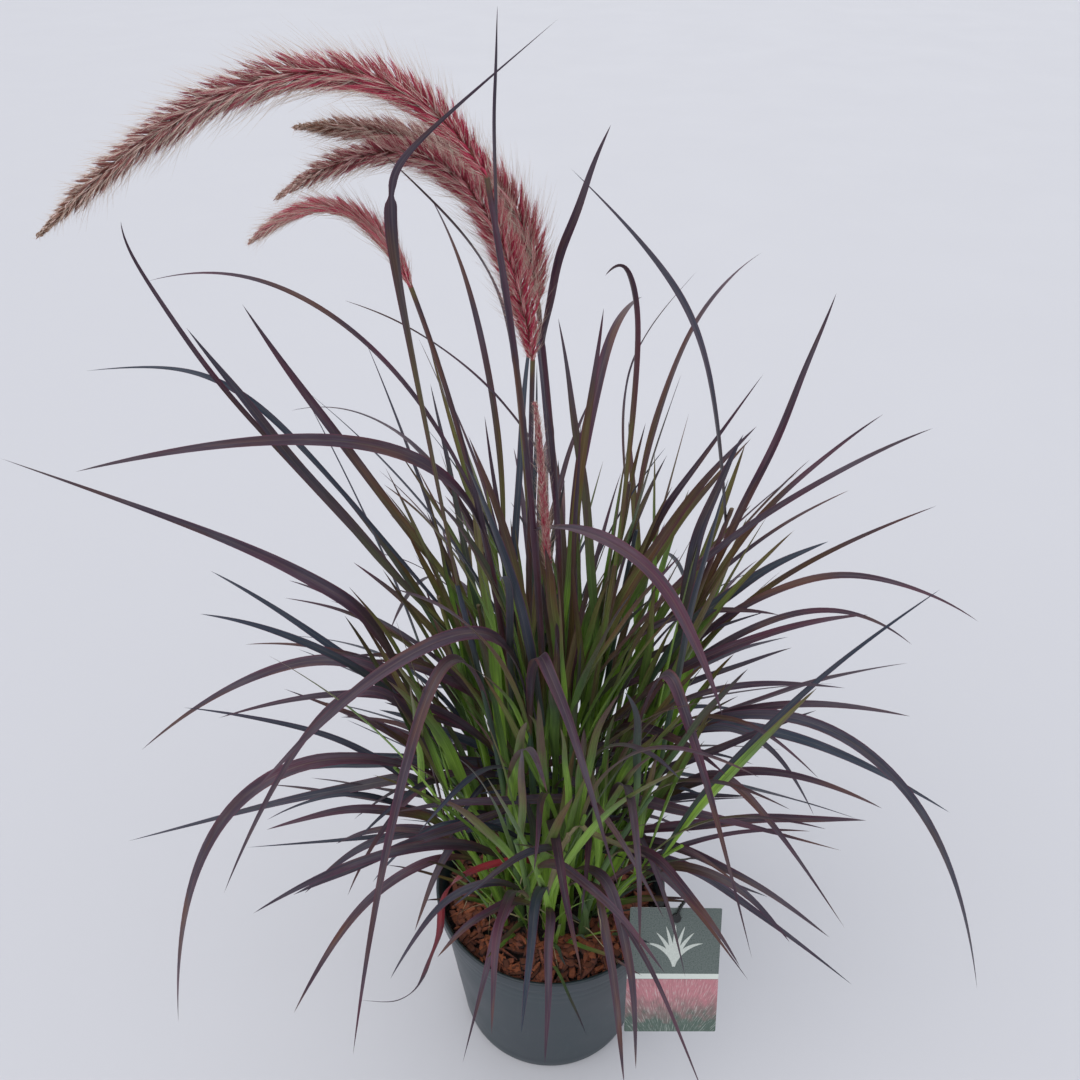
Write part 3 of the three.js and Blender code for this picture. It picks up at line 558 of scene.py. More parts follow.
def ribbon_skin(middle, across, over, width, settings):
    """Ribbons with a leaf's section, skinned over rings. A ring has a middle, a direction across and one
    over it, and its half width is w: a point of the section lies u w across and channel w (|u| - 1/2)
    over it, less its share of the thickness. Returns points, polygons, UV pairs in metres and the shares
    along and across."""
    count, rings = middle.shape[0], middle.shape[1] - 1
    t = np.linspace(0, 1, rings + 1)
    half = width / 2
    channel = settings.channel * (1.5 - 1.1 * t)
    thick = settings.blade_thickness * np.sqrt(np.maximum(half / 3e-3, 0.02)) * (1.2 - 0.7 * t)
    lift = (channel * half)[..., None] * (np.abs(SECTION_ACROSS) - 0.5) - thick[..., None] * SECTION_UNDER
    reach = half[..., None] * SECTION_ACROSS
    points = middle[:, :, None] + across[:, :, None] * reach[..., None] + over[:, :, None] * lift[..., None]
    steps = np.linalg.norm(np.diff(middle, axis=1), axis=2)
    travelled = np.concatenate([np.zeros((count, 1)), np.cumsum(steps, axis=1)], axis=1)
    uv = np.stack([reach, np.broadcast_to(travelled[..., None], reach.shape)], -1)
    shares = np.stack(np.broadcast_arrays(t[None, :, None], SECTION_ACROSS[None, None]), -1)
    shares = np.broadcast_to(shares, (*reach.shape, 2))

    def with_tips(values):
        """The rings before the last, and one point for the tip."""
        body = values[:, :-1].reshape(count, -1, values.shape[-1])
        return np.concatenate([body, values[:, -1].mean(1, keepdims=True)], 1).reshape(-1, values.shape[-1])

    polygons = tube_polygons(count, rings, len(SECTION_ACROSS))
    return with_tips(points), polygons, with_tips(uv), with_tips(shares)


BLADE_WOBBLE = 0.16


def blade_skin(blades, rings, settings, draw):
    """Blades skinned along their arcs. A ring's middle is arc(t) with a slow sway to the side, and its
    frame is rolled about the arc as its solid is. A blade with a sharp bend is creased and pinched there,
    and slimmer. Returns what ribbon_skin does."""
    count = len(blades["root"])
    t = np.linspace(0, 1, rings + 1)
    root, knee, tip, sharp = (blades[key] for key in ("root", "knee", "tip", "sharp"))
    creased = sharp > CREASE_FROM
    sharp = np.where(creased, CREASE_SHARPNESS, sharp)
    width = blade_width(blades["width"][:, None], t, np.where(creased, CREASED_TAPER, BLADE_TAPER)[:, None])
    pinch = 1 - CREASE_PINCH * np.exp(-(((t - 0.5) / CREASE_LENGTH) ** 2))
    slim = np.interp(t, (0.5 - CREASE_LENGTH, 0.5 + CREASE_LENGTH), CREASED_WIDTH)
    width *= np.where(creased[:, None], slim * pinch, 1)
    middle = arc_points(root, knee, tip, sharp, t)
    along = unit(np.gradient(middle, axis=1))
    flat = unit(np.cross(along, arc_sides(root, knee, tip)[:, None]))
    wobble = BLADE_WOBBLE * swing(t, (0.8, 2.2), count, draw)
    roll = (blades["roll"][:, None] * np.minimum(1, BLADE_ROOT_ROLL + t) + wobble * t)[..., None]
    over = flat * np.cos(roll) + np.cross(along, flat) * np.sin(roll)
    across = np.cross(over, along)
    sway = settings.wave * swing(t, (1.0, 2.4), count, draw)
    middle = middle + across * (sway * t * (1 - t) * 2)[..., None]
    return ribbon_skin(middle, across, over, width, settings)


def blade_traits(blades, shares, per_blade, draw, late=0.0):
    """Traits of blade points: ripeness, a tone that sets how far the blade turns blue-black, and the share
    across from -1 to 1. A blade is ripe by start + pace t. One that stands up is green for longer than one
    that arches over, and one that leaves its culm high up, or reaches far out, is riper from its root. All
    of them can ripen late. The blue-black is partly the blades' own colour and partly painted shade: the
    tone is random, but held lower for a blade that leaves its culm above 0.5 m, and too low for much
    blue-black in one that arches over to the front; these catch the light."""
    chord = blades["tip"] - blades["root"]
    stands = np.clip((chord[:, 2] / np.linalg.norm(chord, axis=1) - 0.1) / 0.7, 0, 1)
    height = blades["root"][:, 2]
    far = np.hypot(chord[:, 0], chord[:, 1])
    tone = draw.random(len(height))
    # Painted shade: blades rooted above 0.5 m, and blades arching over to the front where the light falls,
    # are held back from blue-black
    shade = (7.3 * tone) % 1 * np.where(height > 0.5, 0.7, 1)
    shade *= np.where((chord[:, 1] < -0.1) & (stands < 0.5), 0.6, 1)
    start = 0.34 - 0.34 * stands + 0.34 * (tone - 0.5) - late
    start += 2.6 * np.maximum(0, height - 0.36) + 3.0 * np.maximum(0, far - 0.12)
    pace = 2.2 - 1.25 * stands
    ripe = np.repeat(start, per_blade) + np.repeat(pace, per_blade) * shares[:, 0]
    return np.stack([np.clip(ripe, 0, 1), np.repeat(shade, per_blade), shares[:, 1]], -1)


def joined(parts):
    """Several skins as one: points, polygons, and the UV pairs and traits where the skins have them."""
    points, polygons, *others = zip(*parts)
    start = np.cumsum([0] + [len(each) for each in points])
    blocks = [block + offset for each, offset in zip(polygons, start) for block in each]
    return np.concatenate(points), blocks, *(np.concatenate(each) for each in others)


CULM_SECTION = 10
CULM_STEP = 5 * MM
NODE_GAP = 85 * MM
SHEATH_LENGTH = 80 * MM
SHEATH_THICKNESS = 0.27 * MM
NODE_SWELLING = 0.35 * MM
NODE_LENGTH = 2.5 * MM


def culm_skin(culm, blade_roots, draw):
    """A culm as a tube round its axis. Its radius falls evenly from foot to top, with a swelling at each
    node and the thickness of a sheath below each blade's root."""
    rings = int((culm.top[2] - culm.foot[2]) / CULM_STEP)
    z = np.linspace(culm.foot[2] + 6 * MM, culm.top[2], rings)
    climbed = culm.climbed(z)
    radius = CULM_FOOT_RADIUS + (CULM_TOP_RADIUS - CULM_FOOT_RADIUS) * climbed
    below = blade_roots[:, None] - z
    sheaths = ((below > 0) & (below < SHEATH_LENGTH)).sum(0)
    radius += SHEATH_THICKNESS * np.clip(sheaths, 0, 2)
    knuckle = (z - culm.surface + draw.uniform(0, NODE_GAP)) % NODE_GAP - NODE_GAP / 2
    radius += NODE_SWELLING * np.exp(-((knuckle / NODE_LENGTH) ** 2))
    turn = 2 * np.pi * np.arange(CULM_SECTION) / CULM_SECTION
    points = (culm.axis(z)[:, None] + radius[:, None, None] * level_way(turn)).reshape(-1, 3)
    uv = np.stack(np.broadcast_arrays(turn[None] * CULM_FOOT_RADIUS, z[:, None]), -1).reshape(-1, 2)
    flowers = culm.node in FLOWER_STEMS
    pace = 4.2 if flowers else 2.6
    ripe = np.clip(pace * (z - 0.33), 0, 0.92) + 0.1 * np.sin(45 * z + draw.uniform(0, 6)) * (z > 0.25)
    if flowers:
        neck = np.clip((z - culm.top[2] + 0.014) / 0.01, 0, 1)
        ripe += (0.5 - ripe) * neck
    # Leafy culms take tones over the whole range, so some turn blue-black: partly their own colour and
    # partly painted shade at the foot of the crown
    tone = draw.random() * (0.55 if flowers else 1)
    traits = np.stack(np.broadcast_arrays(ripe[:, None], tone, 0.5 + 0.3 * np.cos(3 * turn)[None]), -1)
    return points, tube_polygons(1, rings, CULM_SECTION, pointed=False), uv, traits.reshape(-1, 3)


VEIN_SHADE = (0.08, 0.08, 0.07, 1)


def leaf_finish(settings, name="leaf_blade", stops=None):
    """Leaf: green that turns olive, russet and purple with ripeness, or the colours of other stops,
    flushed rust and wine red in long stretches, blue-black on some blades, partly their own colour and
    partly painted shade, with fine veins along the blade, a faint midrib, red edges, pale blue-grey
    streaks that are partly a bloom and partly a painted sheen, and a low gloss."""
    finish = Finish(name)
    ripe, tone, across = finish.traits()
    place = finish.own_place(tone)
    veins = finish.noise(finish.scaled(place, (2600, 12, 37)), 1.0, 2.0, 0.5)
    patches = finish.noise(finish.scaled(place, (200, 22, 53)), 1.0, 4.0, 0.6)
    flushes = finish.noise(finish.scaled(place, (110, 11, 71)), 1.0, 2.0, 0.5)
    drift = finish.maths("MULTIPLY_ADD", patches, 0.4, finish.maths("ADD", ripe, -0.2))
    greens = [(0.0, settings.fresh), (0.22, settings.leaf_green), (0.45, settings.olive)]
    body = finish.ramp(drift, stops or [*greens, (0.68, settings.russet), (0.88, settings.purple)])
    if not stops:
        turning = finish.ranged(drift, 0.15, 0.5)
        flushed = [
            (turning, finish.ranged(flushes, 0.52, 0.68, 0, 0.5), settings.rust),
            (turning, finish.ranged(flushes, 0.48, 0.36, 0, 0.6), settings.wine),
            # Blue-black on blades of high tone: partly their own colour and partly painted shade
            (finish.ranged(tone, 0.5, 0.8), finish.ranged(drift, 0.0, 0.6, 0.62, 0.85), settings.slate),
        ]
        for where, much, tint in flushed:
            body = finish.mix(finish.times(where, much), body, tint)
    # Pale blue-grey streaks on ripe blades: partly a bloom and partly a painted sheen
    streaks = finish.times(finish.ranged(patches, 0.42, 0.7), finish.ranged(drift, 0.4, 0.95, 0, 0.32))
    body = finish.mix(streaks, body, settings.bloom_and_sheen)
    body = finish.mix(finish.ranged(veins, 0.3, 0.7, 0, 0.5), body, VEIN_SHADE, "MULTIPLY")
    out = finish.maths("ABSOLUTE", across)
    body = finish.mix(finish.ranged(out, 0.02, 0.12, 0.06, 0.0), body, settings.straw)
    edge = finish.times(finish.ranged(out, 0.8, 1.0), finish.ranged(drift, 0.1, 0.5, 0.15, 0.75))
    body = finish.mix(edge, body, settings.wine)
    finish.surface(Base_Color=body, Roughness=finish.ranged(patches, 0.3, 0.7, 0.42, 0.6))
    finish.surface(Specular_IOR_Level=0.28, Sheen_Weight=0.05, Sheen_Roughness=0.4)
    finish.bump(veins, 0.35, 0.25 * MM)
    return finish


# Blades that rise from above this height reach less far, by this factor
HIGH_ROOT = 0.33
HIGH_REACH = 0.8


def spread_blades(root, bearing, looks, draw):
    """Blades that rise from points in the clump: each heads for a knee at a climb, past which it bends
    down. The looks give, as lowest and highest values, the climb and the bend in degrees, and the reach
    and the width in millimetres."""
    count = len(root)
    climb, bend = (np.radians(draw.uniform(*looks[key], count)) for key in ("climb", "bend"))
    reach, width = (draw.uniform(*looks[key], count) * MM for key in ("reach", "width"))
    reach *= np.where(root[:, 2] > HIGH_ROOT, HIGH_REACH, 1)
    level = level_way(bearing)
    up = np.array([0, 0, 1.0])

    def leg(share, angle):
        """A share of the reach, along a way that climbs at an angle."""
        return reach[:, None] * share * (level * np.cos(angle)[:, None] + up * np.sin(angle)[:, None])

    knee = root + leg(0.55, climb)
    tip = knee + leg(0.45, climb - bend)
    roll = draw.uniform(-1.2, 1.2, count)
    return {"root": root, "knee": knee, "tip": tip, "sharp": np.ones(count), "width": width, "roll": roll}


@cache
def every_culm():
    """The culms of the frame, read once."""
    return {node: Culm(node) for node in LEAFY_STEMS + FLOWER_STEMS}


STEM_BLADE_RINGS = 40


class GRASS_OT_stems(bpy.types.Operator):
    """Finish the leafy stems and the flower stems, each with its own blades"""

    bl_idname = "grass.stems"
    bl_label = "Stems and Blades"

    def execute(self, context):
        settings = context.scene.grass_foliage
        finish = leaf_finish(settings)
        for index, (node, culm) in enumerate(every_culm().items()):
            draw = np.random.default_rng(100 + index)
            blades = blades_of(culm)
            points, polygons, uv, shares = blade_skin(blades, STEM_BLADE_RINGS, settings, draw)
            traits = blade_traits(blades, shares, len(points) // len(blades["root"]), draw)
            stem = culm_skin(culm, blades["root"][:, 2], draw)
            points, polygons, uv, traits = joined([stem, (points, polygons, uv, traits)])
            new_piece(node + "_finish", points, polygons, finish, "leaf", [node], uv, traits)
        return {"FINISHED"}


def clump_blades(name, root, looks, draw):
    """A piece of blades that rise from points in the clump. Besides what spread_blades takes from them,
    the looks give how far the blades stray from straight outwards, how much of their depth counts in
    that, how much further aside they aim, what share of them crosses to the other side, their lowest and
    highest tone, how many rings they have and how much later they ripen."""
    settings = bpy.context.scene.grass_foliage
    count = len(root)
    crosses = np.arange(count) * looks["crossing"] % 1 >= 1 - looks["crossing"]
    side = np.where((root[:, 0] < 0) != crosses, -1, 1)
    aside = side * (np.abs(root[:, 0]) + looks["aside"] * MM)
    outward = np.arctan2(root[:, 1] * looks["depth"], aside) + draw.normal(0, looks["stray"], count)
    blades = spread_blades(root, outward, looks, draw)
    points, polygons, uv, shares = blade_skin(blades, looks["rings"], settings, draw)
    per_blade = len(points) // count
    traits = blade_traits(blades, shares, per_blade, draw, looks["late"])
    traits[:, 1] = np.repeat(draw.uniform(*looks["tone"], count), per_blade)
    new_piece(name, points, polygons, leaf_finish(settings, name + "_leaf"), "leaf", (), uv, traits)


INNER_LOOKS = {
    "climb": (72, 87), "bend": (3, 32), "stray": 0.9, "depth": 1, "aside": 0, "crossing": 0,
    "reach": (140, 330), "width": (5, 9.5), "tone": (0, 0.74), "rings": 24, "late": 0.3,
}
INNER_MARGIN = 15 * MM
INNER_TOP = 0.46
LOW_BLADES_FRONT = -30 * MM
LOW_BLADES_RISE = (80, 185)
# Low blades take tones from 0.4 up, so most turn blue-black: partly their own colour and partly painted
# shade low inside the crown
LOW_LOOKS = {
    "climb": (3, 40), "bend": (5, 35), "stray": 0.2, "depth": 0.3, "aside": 60, "crossing": 0.25,
    "reach": (130, 255), "width": (6, 9.5), "tone": (0.4, 1), "rings": 18, "late": -0.2,
}
SHOOT_DEPTH = 14 * MM
# Young shoots take tones over the whole range, so some turn blue-black: partly their own colour and partly
# painted shade at the foot of the crown
SHOOT_LOOKS = {
    "climb": (45, 84), "bend": (0, 30), "stray": 0.5, "depth": 1, "aside": 0, "crossing": 0,
    "reach": (60, 170), "width": (3, 5.5), "tone": (0, 1), "rings": 12, "late": 0.4,
}


class GRASS_OT_inner_blades(bpy.types.Operator):
    """Add the upright blades that stand close to the culms inside the clump"""

    bl_idname = "grass.inner_blades"
    bl_label = "Inner Blades"

    def execute(self, context):
        settings = context.scene.grass_foliage
        draw = np.random.default_rng(17)
        root = []
        for culm in every_culm().values():
            top = min(culm.top[2] - INNER_MARGIN, INNER_TOP)
            root.append(culm.axis(draw.uniform(culm.surface + INNER_MARGIN, top, settings.inner)))
        clump_blades("inner_blades", np.concatenate(root), INNER_LOOKS, draw)
        return {"FINISHED"}


class GRASS_OT_low_blades(bpy.types.Operator):
    """Add the dark blades that lie across the crown low down, their blue-black partly painted shade inside
    the crown
    """

    bl_idname = "grass.low_blades"
    bl_label = "Low Blades"

    def execute(self, context):
        settings = context.scene.grass_foliage
        draw = np.random.default_rng(23)
        culms = [culm for culm in every_culm().values() if culm.foot[1] > LOW_BLADES_FRONT]
        rise = [draw.uniform(*LOW_BLADES_RISE, settings.low) * MM for _ in culms]
        root = [culm.axis(culm.surface + up) for culm, up in zip(culms, rise)]
        clump_blades("low_blades", np.concatenate(root), LOW_LOOKS, draw)
        return {"FINISHED"}


class GRASS_OT_shoots(bpy.types.Operator):
    """Add the young shoots round the feet of the culms"""

    bl_idname = "grass.shoots"
    bl_label = "Young Shoots"

    def execute(self, context):
        settings = context.scene.grass_foliage
        draw = np.random.default_rng(7)
        foot = np.repeat([culm.foot for culm in every_culm().values()], settings.shoots, axis=0)
        away = level_way(draw.uniform(0, 2 * np.pi, len(foot)))
        foot += away * draw.uniform(2, 8, (len(foot), 1)) * MM
        foot[:, 2] += SHOOT_DEPTH
        clump_blades("young_shoots", foot, SHOOT_LOOKS, draw)
        return {"FINISHED"}


def smooth_route(stops, count):
    """Points of a curve through stops: between two of them it is the cubic whose slopes there are half
    the step between their neighbours."""
    stops = np.asarray(stops, float)
    slope = np.gradient(stops, axis=0)
    t = np.linspace(0, len(stops) - 1, count)
    at = np.minimum(t.astype(int), len(stops) - 2)
    f = (t - at)[:, None]
    ends = (2 * f**3 - 3 * f**2 + 1) * stops[at] + (3 * f**2 - 2 * f**3) * stops[at + 1]
    return ends + (f**3 - 2 * f**2 + f) * slope[at] + (f**3 - f**2) * slope[at + 1]


# Where the red blade and the dead one lie, from the crown outwards, in millimetres
RED_BLADE_STOPS = [
    (-10, -44, 215), (-13, -54, 262), (-22, -60, 284), (-42, -60, 280), (-63, -60, 270), (-82, -60, 253),
    (-92, -58, 222), (-97, -58, 178), (-108, -60, 140), (-119, -62, 106), (-134, -62, 84), (-150, -62, 76),
    (-176, -62, 79),
]
DEAD_BLADE_STOPS = [
    (-5, -60, 223), (1, -80, 295), (6, -90, 335), (18, -90, 364), (27, -95, 363), (49, -100, 355),
    (76, -105, 342),
]
STRAY_WIDTH = 8 * MM
STRAY_RINGS = 48
STRAND_RISE = (0, 90)
STRAND_LOOKS = {
    "climb": (10, 60), "bend": (40, 110), "stray": 1.1,
    "reach": (50, 120), "width": (0.7, 1.8), "rings": 14,
}


def stray_skin(stops, width, settings):
    """One blade along a curve through stops. It faces up, and turns over slowly as it goes. Returns points,
    polygons, UV pairs and traits, with the share along as ripeness."""
    t = np.linspace(0, 1, STRAY_RINGS + 1)
    middle = smooth_route(stops, STRAY_RINGS + 1) * MM
    along = unit(np.gradient(middle, axis=0))
    across = unit(np.cross(along, np.array([0.1, 0.25, 1.0])) + 0.4 * np.sin(5 * t)[:, None])
    across = unit(across - (across * along).sum(-1, keepdims=True) * along)
    over = np.cross(along, across)
    over *= np.where(over[:, 2:] < 0, -1, 1)
    across = np.cross(over, along)
    skin = ribbon_skin(middle[None], across[None], over[None], blade_width(width, t)[None], settings)
    points, polygons, uv, shares = skin
    return points, polygons, uv, np.stack([shares[:, 0], 0 * shares[:, 0], shares[:, 1]], -1)


class GRASS_OT_stray_blades(bpy.types.Operator):
    """Add the red blade that hangs over the rim, the dead one folded in the crown, and dry strands round
    it"""

    bl_idname = "grass.stray_blades"
    bl_label = "Stray Blades"

    def execute(self, context):
        settings = context.scene.grass_foliage
        olive, scarlet, straw, purple = settings.olive, settings.scarlet, settings.straw, settings.purple
        red = [(0.0, olive), (0.12, scarlet), (0.5, scarlet), (0.75, purple)]
        dead = [(0.0, straw), (0.45, straw), (0.75, olive), (1.0, purple)]
        strays = [("red_blade", RED_BLADE_STOPS, red), ("dead_blade", DEAD_BLADE_STOPS, dead)]
        for name, stops, colours in strays:
            points, polygons, uv, traits = stray_skin(stops, STRAY_WIDTH, settings)
            finish = leaf_finish(settings, name + "_leaf", colours)
            new_piece(name, points, polygons, finish, "leaf", (), uv, traits)
        draw = np.random.default_rng(29)
        culms = list(every_culm().values())
        held = [culms[i] for i in draw.integers(0, len(culms), settings.strands)]
        root = np.array([culm.axis(culm.surface + draw.uniform(*STRAND_RISE) * MM) for culm in held])
        outward = np.arctan2(root[:, 1], root[:, 0]) + draw.normal(0, STRAND_LOOKS["stray"], len(root))
        blades = spread_blades(root, outward, STRAND_LOOKS, draw)
        points, polygons, uv, shares = blade_skin(blades, STRAND_LOOKS["rings"], settings, draw)
        traits = np.stack([0.6 * shares[:, 0], 0 * shares[:, 0], shares[:, 1]], -1)
        finish = leaf_finish(settings, "dry_strand_leaf", dead)
        new_piece("dry_strands", points, polygons, finish, "leaf", (), uv, traits)
        return {"FINISHED"}


def needles(root, bend, tip, radius, thin):
    """Many three-sided needles. Each is a tube over the middles root, (root + 2 bend + tip) / 4 and the
    point tip, of a radius at its root that thin brings down at its middle. Returns points, polygons and
    the share along."""
    count = len(root)
    middle = (root + 2 * bend + tip) / 4
    aim = unit(tip - root)
    first = unit(np.cross(aim, np.array([0.31, 0.52, 0.79])))
    spoke = spokes(3, first, np.cross(aim, first))
    near = root[:, None] + spoke * radius[:, None, None]
    far = middle[:, None] + spoke * (radius * thin)[:, None, None]
    points = np.concatenate([near, far, tip[:, None]], 1).reshape(-1, 3)
    return points, tube_polygons(count, 2, 3), np.tile([0, 0, 0, 0.5, 0.5, 0.5, 1.0], count)


def plume_fullness(t):
    """How full a plume is along its arc: it swells from its foot and narrows to its tip."""
    return np.minimum(1, 0.45 + 4 * t) * np.maximum(0, 1 - t**2.4) ** 0.6


PLUME_STEPS = 240
PLUME_FITS = 25


class PlumeForm:
    """A plume of the frame: its arc and its radius. The arc's foot is the top of its culm, its tip the
    corner furthest from there, and its knee brings it nearest to all the corners: again and again each
    corner takes its nearest share t, and the knee is solved for by least squares."""

    def __init__(self, node, culm):
        points, _ = welded(node)
        self.foot = culm.top
        self.tip = points[np.linalg.norm(points - self.foot, axis=1).argmax()]
        self.knee = (self.foot + self.tip) / 2 + [0, 0, 0.08]
        t = np.linspace(0, 1, PLUME_STEPS)
        for _ in range(PLUME_FITS):
            apart = np.linalg.norm(points[:, None] - self.at(t)[None], axis=2)
            near = t[apart.argmin(1)][:, None]
            pull = 2 * near * (1 - near)
            rest = points - (1 - near) ** 2 * self.foot - near**2 * self.tip
            self.knee = (pull * rest).sum(0) / (pull**2).sum()
        share = near[:, 0]
        outer = (share > 0.1) & (share < 0.85)
        self.radius = (apart.min(1)[outer] / plume_fullness(share[outer])).max() / PLUME_SPREAD
        lengths = np.linalg.norm(np.diff(self.at(t), axis=0), axis=1)
        self.travelled = np.concatenate([[0], np.cumsum(lengths)])
        self.length = self.travelled[-1]
        self.shares = t

    def at(self, t):
        """Points of the arc."""
        return arc_points(self.foot[None], self.knee[None], self.tip[None], np.ones(1), t)[0]

    def even(self, share):
        """The arc's t at an even share of its length."""
        return np.interp(share * self.length, self.travelled, self.shares)

    def frames(self, share):
        """The middle, the direction and two spokes square to it, at even shares of the length."""
        t = self.even(share)
        along = unit(self.at(np.minimum(1, t + 1e-3)) - self.at(np.maximum(0, t - 1e-3)))
        side = unit(np.cross(self.knee - self.foot, self.tip - self.knee))
        return self.at(t), along, np.broadcast_to(side, along.shape), np.cross(along, side)


# Tones past 1 mark the pale bristles and the hairs for the material
STREAK_TONE = 1.5
HAIR_TONE = 3.0
STREAK_RADIUS = 0.22 * MM
HAIR_RADIUS = 0.08 * MM
BRISTLE_SHADE = (0.05, 0.008, 0.014, 1)


def plume_finish(settings):
    """Plume: bristles olive-brown at their feet, crimson where the plume is young, then rose and at its
    tip tan, darker or paler from tuft to tuft, with cream ones among them and long pale hairs."""
    finish = Finish("plume_bristles")
    along, tone, age = finish.traits()
    body = finish.mix(finish.ranged(age, 0.0, 1.0), settings.crimson, settings.rose)
    body = finish.mix(finish.ranged(age, 1.0, 2.0), body, settings.tan)
    body = finish.mix(finish.ranged(tone, 0.0, 0.4, 0.36, 0.0), body, BRISTLE_SHADE)
    body = finish.mix(finish.ranged(tone, 0.55, 0.95, 0.0, 0.3), body, settings.cream)
    body = finish.mix(finish.ranged(along, 0.06, 0.26, 0.5, 0.0), body, settings.heart)
    shade = finish.noise(finish.place(), 420, 2.0)
    body = finish.mix(finish.ranged(shade, 0.45, 0.8, 0.0, 0.14), body, settings.heart)
    for mark, tint in ((STREAK_TONE - 0.2, settings.cream), (HAIR_TONE - 0.35, settings.hair)):
        body = finish.mix(finish.ranged(tone, mark, mark + 0.05), body, tint)
    finish.surface(Base_Color=body, Roughness=finish.ranged(shade, 0.3, 0.7, 0.5, 0.75))
    finish.surface(Specular_IOR_Level=0.3, Sheen_Weight=0.06, Sheen_Roughness=0.5)
    return finish


# For each plume: its age at its foot and at its tip (0 crimson, 1 rose, 2 tan), how late it ages along
# its length, how far its tufts stand out as a share of the usual, how far they lean forward for each step
# outwards, and how much paler they are.
PLUME_LOOKS = {
    "plume_1": (0.2, 2.0, 1.4, 1.0, 1.35, -0.12),
    "plume_2": (0.2, 2.1, 1.8, 1.35, 1.5, 0.05),
    "plume_3": (0.1, 1.7, 2.2, 1.25, 1.4, 0.05),
    "plume_4": (0.0, 1.5, 5.0, 0.9, 2.6, 0.3),
    "plume_5": (0.3, 0.9, 1.0, 0.75, 2.8, 0.1),
}


def plume_tufts(form, settings, looks, draw):
    """A plume's bristles in pointed tufts set on a spiral. Tuft i stands at an even share of the length,
    turned by i golden turns, and leans forward more on the under side than on top. Its bristles start
    close together on the stalk, swell out at their middles and draw together again at its point. Pale
    bristles lie beside them, and fine hairs start there too and reach past them. Returns points, polygons
    and traits."""
    young, old, late, stand, forward, paler = looks
    tufts = int(form.length / settings.row_gap)
    share = np.linspace(0.004, 0.985, tufts) + draw.normal(0, 0.001, tufts)
    middle, along, first, second = form.frames(np.clip(share, 0, 0.99))
    turn = GOLDEN_TURN * np.arange(tufts) + draw.normal(0, 0.15, tufts)
    spoke = first * np.cos(turn)[:, None] + second * np.sin(turn)[:, None]
    full = settings.body * form.radius * plume_fullness(share) * draw.uniform(0.85, 1.15, tufts) * stand
    full *= np.minimum(1, (1 - share) / 0.15) ** 0.6
    slope = forward - 0.45 * spoke[:, 2]
    tuft_tone = draw.random(tufts)
    age = young + (old - young) * share**late

    def spray(each, reach, lean, swell, spread, radius, tone):
        """Needles of every tuft: so many each, with lows and highs of their reach and lean as shares of
        the tuft's, how far they stray at their middles and at their points, a radius, and a tone added to
        the tuft's."""
        rows = np.repeat(np.arange(tufts), each)
        count = len(rows)
        out = full[rows] * draw.uniform(*reach, count)
        ahead = out * slope[rows] * draw.uniform(*lean, count) + 1.2 * MM
        stray = draw.normal(0, 1, (count, 3))

        def beyond(outwards, onwards):
            """Places out from the stalk and on along it."""
            return middle[rows] + spoke[rows] * outwards[:, None] + along[rows] * onwards[:, None]

        root = beyond(0 * out + 0.06 * form.radius, 0 * ahead) + stray * 0.35 * MM
        tip = beyond(out, ahead) + stray[:, ::-1] * spread
        bend = beyond(0.6 * out, 0.36 * ahead) + stray * swell
        points, polygons, run = needles(root, bend, tip, radius * draw.uniform(0.7, 1.3, count), 0.85)
        shade = 0.6 * tuft_tone[rows] + 0.4 * draw.random(count) + paler + tone
        return points, polygons, np.stack([run, np.repeat(shade, 7), np.repeat(age[rows], 7)], -1)

    thick = settings.bristle_radius
    sprays = [
        (settings.bristles, (0.7, 1.12), (0.9, 1.1), 0.85 * MM, 0.4 * MM, thick, 0),
        (settings.streaks, (0.75, 1.1), (0.75, 0.9), 0.9 * MM, 0.4 * MM, STREAK_RADIUS, STREAK_TONE),
        (settings.hairs, (1.2, 2.1), (0.6, 1.15), 1.2 * MM, 1.8 * MM, HAIR_RADIUS, HAIR_TONE),
    ]
    return joined([spray(*each) for each in sprays])


def plume_stalk(form):
    """The plume's stalk: a tube round its arc that thins to a point."""
    rings, sides = 60, 8
    share = np.linspace(0, 1, rings + 1)
    middle, _, first, second = form.frames(share)
    radius = np.maximum(0.5 * MM, 1.4 * MM * (1 - share))
    points = middle[:, None] + spokes(sides, first, second) * radius[:, None, None]
    points = np.concatenate([points[:-1].reshape(-1, 3), middle[-1:]])
    return points, tube_polygons(1, rings, sides), np.tile([0, 0.4, 1.0], (len(points), 1))


class GRASS_OT_plumes(bpy.types.Operator):
    """Finish the plumes with stalks, bristles and hairs"""

    bl_idname = "grass.plumes"
    bl_label = "Plumes"

    def execute(self, context):
        settings = context.scene.grass_plume
        finish = plume_finish(settings)
        for index, node in enumerate(PLUMES):
            form = PlumeForm(node, every_culm()[node.replace("plume", "flower_stem")])
            draw = np.random.default_rng(300 + index)
            tufts = plume_tufts(form, settings, PLUME_LOOKS[node], draw)
            points, polygons, traits = joined([plume_stalk(form), tufts])
            new_piece(node + "_finish", points, polygons, finish, "plume", [node], None, traits, sharp=80)
        return {"FINISHED"}


